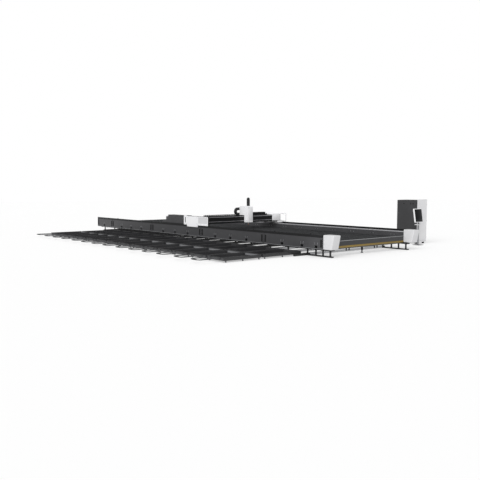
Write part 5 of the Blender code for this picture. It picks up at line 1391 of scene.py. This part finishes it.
plate_bolts = [(RPLATE_HIGH[X], y, z)
               for y in np.linspace(RPLATE_LOW[Y] + 0.08, RPLATE_HIGH[Y] - 0.08, 5)
               for z in (RPLATE_LOW[Z] + 30 * MM, RPLATE_HIGH[Z] - 30 * MM)]
piece("right_plate_bolts", many(bolt(9 * MM, 7 * MM), plate_bolts), "gantry", ZINC)

TROUGH_LOW, DUCT_HIGH = corners("chain_trough")
DUCT_SIDE = 120 * MM
DUCT_START, DUCT_LID, DUCT_LID_PITCH = 0.30, 0.30, 0.31
TROUGH_SHEET = 3 * MM
TROUGH_HIGH = np.array((DUCT_HIGH[X], DUCT_HIGH[Y] - DUCT_SIDE, TROUGH_LOW[Z] + 60 * MM))
slots = [(x, x + 60 * MM, TROUGH_LOW[Z] + 18 * MM, TROUGH_HIGH[Z] - 14 * MM)
         for x in np.arange(TROUGH_LOW[X] + 30 * MM, TROUGH_HIGH[X] - 80 * MM, 100 * MM)]
walls = [slab(Y, (TROUGH_LOW[X], y, TROUGH_LOW[Z]),
              (TROUGH_HIGH[X], y + TROUGH_SHEET, TROUGH_HIGH[Z]), slots)
         for y in (TROUGH_LOW[Y], TROUGH_HIGH[Y] - TROUGH_SHEET)]
trough_floor = slab(Z, (TROUGH_LOW[X], TROUGH_LOW[Y] + TROUGH_SHEET, TROUGH_LOW[Z]),
                    (TROUGH_HIGH[X], TROUGH_HIGH[Y] - TROUGH_SHEET, TROUGH_LOW[Z] + TROUGH_SHEET))
lips = [block((TROUGH_LOW[X], y, TROUGH_HIGH[Z] - TROUGH_SHEET),
              (TROUGH_HIGH[X], y + 8 * MM, TROUGH_HIGH[Z]), 1 * MM, 1)
        for y in (TROUGH_LOW[Y], TROUGH_HIGH[Y] - 8 * MM)]
piece("cable_trough", join(*walls, trough_floor, *lips), "gantry", GANTRY_COAT,
      ["chain_trough"])
duct = block((DUCT_START, TROUGH_HIGH[Y], TROUGH_LOW[Z]), DUCT_HIGH, 6 * MM, 3)
duct_lids = [block((x, TROUGH_HIGH[Y] + 8 * MM, DUCT_HIGH[Z] - 1 * MM),
                   (x + DUCT_LID, DUCT_HIGH[Y] - 8 * MM, DUCT_HIGH[Z] + 3 * MM), 2 * MM, 1)
             for x in np.arange(DUCT_START + 20 * MM, 1.3, DUCT_LID_PITCH)]
piece("cable_duct", join(duct, *duct_lids), "gantry", GUARD_COAT)

# %% [markdown]
# The cutting head and its chains
#
# A rounded white housing covers the carriage, with a milled plate behind it. The head itself is a stack
# of turned parts: a profile of radius and height pairs spun about its axis. Energy chains are a row of
# equal links. The chain's middle line is straight, then a half circle, then straight, and a link stands
# at each equal step along it, turned to the line's direction.

# %%
HEAD_LOW, HEAD_HIGH = corners("head_housing")
PLATE_LOW, PLATE_HIGH = corners("carriage_plate")
HOUSE_BACK = 6.96
HOUSE_WAIST = CROSS_LOW[Y] - 0.3 * MM
NOTCH = 1.12
SHOULDER = 60 * MM
WELL_WALL = 22 * MM
WELL_TOP = corners("cutting_head")[1][Z] + 70 * MM
VENT_Y, VENT_Z = (6.46, 6.58), (1.22, 1.36)
SCREW_Y, SCREW_Z = (6.42, 6.60), (0.87, 1.10, 1.45)


def head_shell():
    """Side view in Y and Z, a tall front part and a back over the beam, carried along X. In the middle
    stations the floor line climbs into a well, which leaves room for the cutting head to rise."""
    front, top, floor = HEAD_LOW[Y], HEAD_HIGH[Z], HEAD_LOW[Z]
    arc = np.linspace(0, np.pi / 2, 8)
    rounded = np.column_stack([front + SHOULDER - SHOULDER * np.sin(arc),
                               top - SHOULDER + SHOULDER * np.cos(arc)])
    near, far = front + WELL_WALL, HOUSE_WAIST - WELL_WALL
    left, right = HEAD_LOW[X] + WELL_WALL, HEAD_HIGH[X] - WELL_WALL
    rows = []
    for x, ceiling in ((HEAD_LOW[X], floor), (left, floor), (left, WELL_TOP),
                       (right, WELL_TOP), (right, floor), (HEAD_HIGH[X], floor)):
        outline = np.concatenate([[(front, floor), (near, floor), (near, ceiling), (far, ceiling),
                                   (far, floor), (HOUSE_WAIST, floor), (HOUSE_WAIST, NOTCH),
                                   (HOUSE_BACK, NOTCH), (HOUSE_BACK, top)], rounded])
        rows.append(np.column_stack([np.full(len(outline), x), outline]))
    return lofted(rows)


housing = piece("head_shell", head_shell(), "carriage", WHITE_COAT, ["head_housing"],
                edge=10 * MM)
housing.modifiers["edges"].segments = 3
bracket = block((0.04, HOUSE_BACK - 2 * MM, 1.3536), (0.14, 6.9633, 1.4536), 2 * MM, 1)
panel_line = block((HEAD_LOW[X] + 26 * MM, HEAD_LOW[Y] - 3 * MM, 0.90),
                   (HEAD_HIGH[X] - 26 * MM, HEAD_LOW[Y] + 3 * MM, 1.42), 2.8 * MM, 2)
vents = [louvres(x, *VENT_Y, *VENT_Z, 6, out) for x, out in ((HEAD_LOW[X], -1), (HEAD_HIGH[X], 1))]
piece("head_panels", join(bracket, panel_line, *vents), "carriage", WHITE_COAT)
side_screws = [many(bolt(6 * MM, 3.5 * MM, X, out), [(x, y, z) for y in SCREW_Y for z in SCREW_Z])
               for x, out in ((HEAD_LOW[X], -1), (HEAD_HIGH[X], 1))]
piece("head_screws", join(*side_screws), "carriage", ZINC)
plate_bolts = many(flipped(bolt(7 * MM, 6 * MM, Y), Y),
                   [(x, PLATE_LOW[Y], z) for x in (PLATE_LOW[X] + 22 * MM, PLATE_HIGH[X] - 22 * MM)
                    for z in np.linspace(PLATE_LOW[Z] + 30 * MM, PLATE_HIGH[Z] - 30 * MM, 6)])
piece("carriage_bolts", plate_bolts, "carriage", BLACK_OXIDE)

CUT_LOW, CUT_HIGH = corners("cutting_head")
SLIDE_FOOT = 0.99
TIP_LOW, TIP_HIGH = corners("nozzle")
AXIS = ((TIP_LOW[X] + TIP_HIGH[X]) / 2, (TIP_LOW[Y] + TIP_HIGH[Y]) / 2)


def spun(pairs, sides=32):
    """A turned part on the head's axis, from pairs of radius and height in millimetres."""
    return turned(np.array(pairs, float) * MM, sides, (*AXIS, 0))


barrel = spun([(22, 770), (30, 772), (30, 792), (34, 796), (46, 812), (48, 818), (48, 872), (45, 875),
               (45, 879), (48, 882), (48, 980), (45, 983), (45, 987), (48, 990), (48, 1120), (44, 1126),
               (44, 1132), (48, 1138), (48, 1262), (40, 1272), (24, 1274), (24, 1280)])
slide = block((CUT_LOW[X], CUT_HIGH[Y] - 30 * MM, SLIDE_FOOT), CUT_HIGH, 3 * MM, 2)
piece("cutting_barrel", join(barrel, slide), "head", MILLED_ALUMINIUM, ["cutting_head"])
collar = spun([(31, 776), (36, 778), (36, 786), (31, 788)])
knob = turned(np.array([(10, 40), (10, 62), (14, 64), (14, 72), (11, 74)]) * MM, 18, (*AXIS, 0.93), X)
piece("lens_drawer_knobs", join(collar, knob), "head", BLACK_OXIDE)
ring = spun([(20, 757), (24, 758), (26, 762), (26, 769), (22, 770)])
piece("ceramic_ring", ring, "head", CERAMIC)
tip = spun([(2, 709.8), (8, 710), (9, 712), (12, 722), (20, 733), (24, 735), (24, 748), (18, 750),
            (18, 757)])
piece("nozzle_tip", tip, "head", COPPER, ["nozzle"])


def chain(line, width, thick, across):
    """Links along a line of points: a link of unit size is stretched to each step and laid along it."""
    line = np.asarray(line, float)
    step = line[1:] - line[:-1]
    length = np.linalg.norm(step, axis=1)
    middle = (line[1:] + line[:-1]) / 2
    along = step / length[:, None]
    wide = np.zeros(3)
    wide[across] = 1.0
    normal = np.cross(along, wide)
    plates = [block((-0.56, -0.5, side - 0.06), (0.56, 0.5, side + 0.06), 0.05, 1)
              for side in (-0.44, 0.44)]
    bars = [block((-0.22, edge - 0.06, -0.44), (0.22, edge + 0.06, 0.44), 0.03, 1)
            for edge in (-0.42, 0.42)]
    link, tables = join(*plates, *bars)
    count = len(line) - 1
    points = (middle[:, None] + (link[None, :, 0] * length[:, None])[..., None] * along[:, None]
              + (link[:, 1] * thick)[None, :, None] * normal[:, None]
              + (link[:, 2] * width)[None, :, None] * wide)
    jump = np.arange(count)[:, None, None] * len(link)
    shape = points.reshape(-1, 3), [(jump + table[None]).reshape(-1, table.shape[1]) for table in tables]
    return shape if volume(shape) > 0 else (shape[0], [table[:, ::-1] for table in shape[1]])


def hairpin(radius, first_run, second_run, pitch):
    """Middle line in a plane: in along a straight run, round a half circle, and out again."""
    total = first_run + math.pi * radius + second_run
    count = int(round(total / pitch))
    s = np.linspace(0, total, count + 1)
    angle = np.clip((s - first_run) / radius, 0, math.pi)
    back = np.clip(s - first_run - math.pi * radius, 0, None)
    a = first_run - np.minimum(s, first_run) - radius * np.sin(angle) + back
    return a, radius * np.cos(angle)


CHAIN_THICK, TOWER_THICK = 80 * MM, 55 * MM
HOSE, HOSE_RUN = 20 * MM, 0.15
CABLE_BUNDLE = 17 * MM
bend_low, bend_high = corners("chain_bend")
radius = (bend_high[Z] - bend_low[Z] - CHAIN_THICK) / 2
arc_x = bend_low[X] + radius + CHAIN_THICK / 2
a, b = hairpin(radius, 0.21, 0.31, 46 * MM)
bend_line = np.column_stack([arc_x + a, np.full(len(a), (bend_low[Y] + bend_high[Y]) / 2),
                             (bend_low[Z] + bend_high[Z]) / 2 + b])
tower_low, tower_high = corners("chain_tower")
tower_radius = (tower_high[Y] - tower_low[Y] - TOWER_THICK) / 2
rise = tower_high[Z] - tower_low[Z] - tower_radius - TOWER_THICK / 2
a, b = hairpin(tower_radius, rise, rise, 40 * MM)
tower_line = np.column_stack([np.full(len(a), (tower_low[X] + tower_high[X]) / 2),
                              (tower_low[Y] + tower_high[Y]) / 2 + b, tower_low[Z] + rise - a])
piece("cross_chain", chain(bend_line, bend_high[Y] - bend_low[Y], CHAIN_THICK, Y), "carriage",
      CHAIN_NYLON, ["chain_bend"])
bend_middle = (bend_low[Z] + bend_high[Z]) / 2
inner = radius - CHAIN_THICK / 2 - HOSE
turn_back = np.linspace(np.pi / 2, 3 * np.pi / 2, 17)
loop = np.column_stack([arc_x + inner * np.cos(turn_back), np.zeros(len(turn_back)),
                        bend_middle + inner * np.sin(turn_back)])
runs = [(arc_x + HOSE_RUN, 0, bend_middle + inner), (arc_x + HOSE_RUN, 0, bend_middle - inner)]
loop = np.concatenate([runs[:1], loop, runs[1:]])
hose_rows = bend_low[Y] + (bend_high[Y] - bend_low[Y]) * np.array((0.3, 0.7))
piece("gas_hoses", join(*[tube(loop + (0, y, 0), HOSE, 10) for y in hose_rows]), "carriage", FOOT_RUBBER)
cables = [tube(bend_line, CABLE_BUNDLE, 10), tube(tower_line, CABLE_BUNDLE, 10)]
piece("chain_cables", join(*cables), "carriage", FOOT_RUBBER)
piece("tower_chain", chain(tower_line, tower_high[X] - tower_low[X], TOWER_THICK, X), "carriage",
      CHAIN_NYLON, ["chain_tower"])

# %% [markdown]
# Electrical cabinet
#
# A dark sheet casing with a light front that swings open. The casing's solid is already an open box, so it
# keeps its shape and gains what hangs on it: louvres, near-black patches painted as the shade in hand
# holes, black feet, and the gear on its mounting plate that shows when the front is open. The front is two
# folded panels with a gap at the plinth.

# %%
coated("cabinet_body", CABINET_COAT)
coated("laser_source", LIGHT_COAT)
CAB_LOW, CAB_HIGH = corners("cabinet_body")
DOOR_LOW, DOOR_HIGH = corners("cabinet_door")
FOOT_HIGH = 70 * MM
HAND_HOLES = (0.20, 0.33, 0.66)
MOUNTING_LOW, MOUNTING_HIGH = 0.55, 1.74
DUCT_HEIGHTS = (0.60, 0.93, 1.26, 1.62)
BREAKER_HEIGHTS = (1.36, 1.49)
DRIVE_HEIGHTS = (0.67, 1.0)
HINGE_HEIGHTS = (0.28, 0.95, 1.62)

feet = [block((x - 1 * MM, y - 1 * MM, 0), (x + 71 * MM, y + 71 * MM, FOOT_HIGH - 2 * MM), 4 * MM, 2)
        for x in (CAB_LOW[X] + 40 * MM, CAB_HIGH[X] - 110 * MM)
        for y in (CAB_LOW[Y] + 40 * MM, CAB_HIGH[Y] - 110 * MM)]
piece("cabinet_feet", join(*feet), "bed", FOOT_RUBBER)
# Near-black patches on the casing's side stand for hand holes: painted shade for their dark insides.
holes = [block((CAB_LOW[X] - 2 * MM, CAB_LOW[Y] + y - 26 * MM, CAB_HIGH[Z] - 0.17),
               (CAB_LOW[X] + 2 * MM, CAB_LOW[Y] + y + 26 * MM, CAB_HIGH[Z] - 0.13), 1.5 * MM, 2)
         for y in HAND_HOLES]
piece("cabinet_hand_holes", join(*holes), "bed", DARK_GAP)
side_vents = [louvres(x, CAB_LOW[Y] + 0.30, CAB_LOW[Y] + 0.70, 0.25, 0.55, 9, out)
              for x, out in ((CAB_LOW[X], -1), (CAB_HIGH[X], 1))]
rear_panel = block((CAB_LOW[X] + 40 * MM, CAB_HIGH[Y] - 2 * MM, CAB_LOW[Z] + 0.12),
                   (CAB_HIGH[X] - 40 * MM, CAB_HIGH[Y] + 4 * MM, CAB_HIGH[Z] - 50 * MM), 3 * MM, 2)
roof = block((CAB_LOW[X] + 60 * MM, CAB_LOW[Y] + 60 * MM, CAB_HIGH[Z] - 2 * MM),
             (CAB_HIGH[X] - 60 * MM, CAB_HIGH[Y] - 60 * MM, CAB_HIGH[Z] + 5 * MM), 4 * MM, 2)
piece("cabinet_panels", join(rear_panel, roof, *side_vents), "bed", CABINET_COAT)

back_x = (CAB_LOW[X] + 50 * MM, CAB_HIGH[X] - 50 * MM)
plate_face = CAB_HIGH[Y] - 61 * MM
mounting = block((back_x[0], CAB_HIGH[Y] - 60 * MM, MOUNTING_LOW),
                 (back_x[1], CAB_HIGH[Y] - 57 * MM, MOUNTING_HIGH), 1 * MM, 1)
ducts = [block((back_x[0] + 20 * MM, CAB_HIGH[Y] - 120 * MM, z),
               (back_x[1] - 20 * MM, plate_face, z + 45 * MM), 3 * MM, 2) for z in DUCT_HEIGHTS]
piece("mounting_plate", mounting, "bed", ZINC)
piece("wire_ducts", join(*ducts), "bed", LIGHT_COAT)
breakers = [block((x, CAB_HIGH[Y] - 130 * MM, z), (x + 16 * MM, plate_face, z + 85 * MM), 2 * MM, 1)
            for z in BREAKER_HEIGHTS for x in np.arange(back_x[0] + 40 * MM, back_x[1] - 60 * MM, 18 * MM)]
drives = [block((x, CAB_HIGH[Y] - 0.26, z), (x + 80 * MM, plate_face, z + 0.22), 5 * MM, 2)
          for z in DRIVE_HEIGHTS for x in np.arange(back_x[0] + 30 * MM, back_x[1] - 90 * MM, 0.11)]
piece("breakers", join(*breakers), "bed", SHELL_ABS)
piece("servo_drives", join(*drives), "bed", KEY_ABS)
LASER_LOW, LASER_HIGH = corners("laser_source")
grille = louvres(LASER_LOW[X], LASER_LOW[Y] + 0.1, LASER_LOW[Y] + 0.5, LASER_LOW[Z] + 0.08,
                 LASER_HIGH[Z] - 0.08, 7, -1)
handles = [tube([(x, LASER_LOW[Y], LASER_LOW[Z] + 0.12), (x, LASER_LOW[Y] - 30 * MM, LASER_LOW[Z] + 0.14),
                 (x, LASER_LOW[Y] - 30 * MM, LASER_LOW[Z] + 0.26), (x, LASER_LOW[Y], LASER_LOW[Z] + 0.28)],
                6 * MM, 10) for x in (LASER_LOW[X] + 40 * MM, LASER_HIGH[X] - 40 * MM)]
piece("laser_source_fittings", join(grille, *handles), "bed", CABINET_COAT)

grip = (DOOR_LOW[X] + 50 * MM, DOOR_LOW[X] + 90 * MM, 0.95, 1.11)
front = slab(Y, (DOOR_LOW[X], DOOR_LOW[Y], DOOR_LOW[Z] + 70 * MM),
             (DOOR_HIGH[X], DOOR_LOW[Y] + 26 * MM, DOOR_HIGH[Z]), [grip])
kick = slab(Y, (DOOR_LOW[X], DOOR_LOW[Y] + 2 * MM, DOOR_LOW[Z]),
            (DOOR_HIGH[X], DOOR_LOW[Y] + 26 * MM, DOOR_LOW[Z] + 62 * MM))
inner_skin = block((DOOR_LOW[X] + 12 * MM, DOOR_LOW[Y] + 20 * MM, DOOR_LOW[Z] + 4 * MM),
                   (DOOR_HIGH[X] - 12 * MM, DOOR_HIGH[Y], CAB_HIGH[Z] - 12 * MM), 2 * MM, 1)
piece("cabinet_front", join(front, kick, inner_skin), "door", LIGHT_COAT, ["cabinet_door"],
      edge=3 * MM)
cup = block((grip[0] - 4 * MM, DOOR_LOW[Y] - 1.5 * MM, grip[2] - 4 * MM),
            (grip[1] + 4 * MM, DOOR_LOW[Y] + 1 * MM, grip[3] + 4 * MM), 1 * MM, 1)
latch = block((grip[0] + 6 * MM, DOOR_LOW[Y] - 12 * MM, grip[2] + 12 * MM),
              (grip[1] - 6 * MM, DOOR_LOW[Y], grip[3] - 12 * MM), 6 * MM, 3)
piece("door_latch", join(cup, latch), "door", KEY_ABS)
knuckle = turned(np.array([(6, -30), (7, -29), (7, -1), (6, 0), (7, 1), (7, 29), (6, 30)]) * MM, 14)
hinge_places = [(DOOR_HIGH[X], DOOR_LOW[Y] + 4 * MM, z) for z in HINGE_HEIGHTS]
piece("door_hinges", many(knuckle, hinge_places), "door", ZINC)

# %% [markdown]
# Operator console
#
# A light grey post on a black floor plate carries a shelf with keys and a tilting screen. The housing
# tilts with the screen body, so its pieces are built upright about the tilt axis first and then turned
# back by the same nine degrees as the solid. The keys are one block at many places, and the keyboard has
# no letters.

# %%
POST_LOW, POST_HIGH = corners("console_stand")
POST_HALF, BOSS_HALF, ANCHOR_GAP = 25 * MM, 60 * MM, 0.12
KEY_PITCH = 17 * MM
post_x, post_y = (POST_LOW[X] + POST_HIGH[X]) / 2, (POST_LOW[Y] + POST_HIGH[Y]) / 2
plate = block((POST_LOW[X], POST_LOW[Y], 0), (POST_HIGH[X], POST_HIGH[Y], 12 * MM), 5 * MM, 3)
post = block((post_x - POST_HALF, post_y - POST_HALF, 8 * MM),
             (post_x + POST_HALF, post_y + POST_HALF, POST_HIGH[Z]), 7 * MM, 3)
boss = block((post_x - BOSS_HALF, post_y - BOSS_HALF, 10 * MM),
             (post_x + BOSS_HALF, post_y + BOSS_HALF, 26 * MM), 3 * MM, 2)
piece("console_post", join(post, boss), "bed", POST_COAT, ["console_stand"])
piece("console_base", plate, "bed", FRAME_COAT)
anchors = [(post_x + a * ANCHOR_GAP, post_y + b * ANCHOR_GAP, 12 * MM) for a in (-1, 1) for b in (-1, 1)]
piece("console_anchors", many(bolt(9 * MM, 8 * MM, Z), anchors), "bed", ZINC)

SHELF_LOW, SHELF_HIGH = corners("keyboard_shelf")
shelf = block(SHELF_LOW, SHELF_HIGH, 6 * MM, 3)
piece("key_shelf", shelf, "bed", LIGHT_COAT, ["keyboard_shelf"])
key = block((-7 * MM, -7 * MM, -2 * MM), (7 * MM, 7 * MM, 5 * MM), 2 * MM, 2)
BUTTON_LOW, BUTTON_HIGH = corners("stop_button")
key_x = np.arange(SHELF_LOW[X] + 25 * MM, BUTTON_LOW[X] - 15 * MM, KEY_PITCH)
key_y = np.arange(SHELF_LOW[Y] + 30 * MM, SHELF_HIGH[Y] - 60 * MM, KEY_PITCH)
key_places = [(x, y, SHELF_HIGH[Z]) for x in key_x for y in key_y]
piece("keys", many(key, key_places), "bed", KEY_ABS)
button_x, button_y = (BUTTON_LOW[X] + BUTTON_HIGH[X]) / 2, (BUTTON_LOW[Y] + BUTTON_HIGH[Y]) / 2
profile = np.array([(11, -14), (11, 7), (15, 7), (18, 10), (18, 15), (16, 19), (11, 22), (4, 23)]) * MM
mushroom = turned(profile, 28, (button_x, button_y, SHELF_HIGH[Z]))
piece("mushroom_button", mushroom, "button", BUTTON_ABS, ["stop_button"])
ring = turned(np.array([(14, -1), (19, -1), (19, 3), (17, 4), (14, 4)]) * MM, 28,
              (button_x, button_y, SHELF_HIGH[Z]))
piece("button_collar", ring, "bed", ZINC)

PIVOT = np.array((post_x, post_y, 1.03))
TILT = 9.0
SHIFT = -0.13
HALF_FACE, FACE_LOW, FACE_HIGH = 0.26, -0.115, 0.445
BACK, DEPTH = -60 * MM, 60 * MM
LUG_GAP = 31.3 * MM


def tilted(shape):
    """Turned back about the tilt axis, as the solids are at rest."""
    points, tables = turn(shape, X, -TILT)
    return points + PIVOT, tables


low, high = (SHIFT - HALF_FACE, BACK - DEPTH, FACE_LOW), (SHIFT + HALF_FACE, BACK, FACE_HIGH)
shell = block(low, high, 14 * MM, 4)
lugs = [block((x - 6 * MM, BACK - 5 * MM, -25 * MM), (x + 6 * MM, 25 * MM, 25 * MM), 5 * MM, 2)
        for x in (-LUG_GAP, LUG_GAP)]
rear = block((low[X] + 50 * MM, BACK - 4 * MM, FACE_LOW + 90 * MM),
             (high[X] - 50 * MM, BACK + 10 * MM, FACE_HIGH - 60 * MM), 8 * MM, 3)
piece("screen_shell", tilted(join(shell, rear, *lugs)), "screen", SHELL_ABS,
      ["console_housing"])
glass = block((low[X] + 20 * MM, low[Y] - 0.8 * MM, FACE_LOW + 20 * MM),
              (high[X] - 20 * MM, low[Y] + 8 * MM, FACE_HIGH - 20 * MM), 2 * MM, 2)
piece("screen_pane", tilted(glass), "screen", SCREEN_GLASS, ["touch_screen"])
pin = turned([(7 * MM, -42 * MM), (9 * MM, -41 * MM), (9 * MM, 41 * MM), (7 * MM, 42 * MM)], 16, axis=X)
piece("tilt_pin", tilted(pin), "screen", BLACK_OXIDE)

# %% [markdown]
# Floor, backdrop and light
#
# A product picture on white needs a floor bright enough to vanish, with soft shadows only where the
# machine stands. The floor is a plain pale plane under an even sky and one large soft sun from the left.
# Camera rays see the world as plain white, so the horizon disappears without a painted backdrop. The
# floor glows a little by itself, which lifts it to white without washing out the machine.

# %%
FLOOR_REACH = 90.0
SKY_POWER = 0.80
SUN_POWER = 2.2
SUN_ANGLE = math.radians(50)
SUN_HEIGHT = math.radians(38)
SUN_YAW = math.radians(-63)
FLOOR_GLOW = 0.45

square = np.array(((-1, -1, 0), (1, -1, 0), (1, 1, 0), (-1, 1, 0))) * FLOOR_REACH
floor_mesh = bpy.data.meshes.new("floor")
floor_mesh.from_pydata(square.tolist(), [], [(0, 1, 2, 3)])
floor = bpy.data.objects.new("floor", floor_mesh)
bpy.context.scene.collection.objects.link(floor)
floor_paint, floor_shader, _ = start("pale_floor", 0.9)
floor_shader.inputs["Base Color"].default_value = linear("#BCBCBC")
floor_shader.inputs["Emission Color"].default_value = (1.0, 1.0, 1.0, 1.0)
floor_shader.inputs["Emission Strength"].default_value = FLOOR_GLOW
floor_shader.inputs["Specular IOR Level"].default_value = 0.1
floor_mesh.materials.append(floor_paint)
floor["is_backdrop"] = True

world = bpy.data.worlds.new("studio")
bpy.context.scene.world = world
world.use_nodes = True
world.node_tree.nodes.clear()
soft = node(world, "Background", Strength=SKY_POWER)
plain = node(world, "Background", Color=(1.0, 1.0, 1.0, 1.0), Strength=1.0)
seen = node(world, "LightPath").outputs["Is Camera Ray"]
both = node(world, "MixShader", I0=seen, I1=soft.outputs[0], I2=plain.outputs[0])
node(world, "OutputWorld", Surface=both.outputs[0])

sun = bpy.data.lights.new("soft_sun", "SUN")
sun.energy = SUN_POWER
sun.angle = SUN_ANGLE
lamp = bpy.data.objects.new("soft_sun", sun)
lamp.rotation_euler = (math.radians(90) - SUN_HEIGHT, 0.0, SUN_YAW)
bpy.context.scene.collection.objects.link(lamp)
lamp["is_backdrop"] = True
print("floor half width:", FLOOR_REACH, "m; sun:", sun.energy, "W/m2")

# %% [markdown]
# Size
#
# The dressed machine must not outgrow the solids. The last call prints the box around every shown
# piece, leaving out the floor.

# %%
low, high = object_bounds()
print("visual box:", [[round(float(v), 3) for v in corner] for corner in (low, high)])
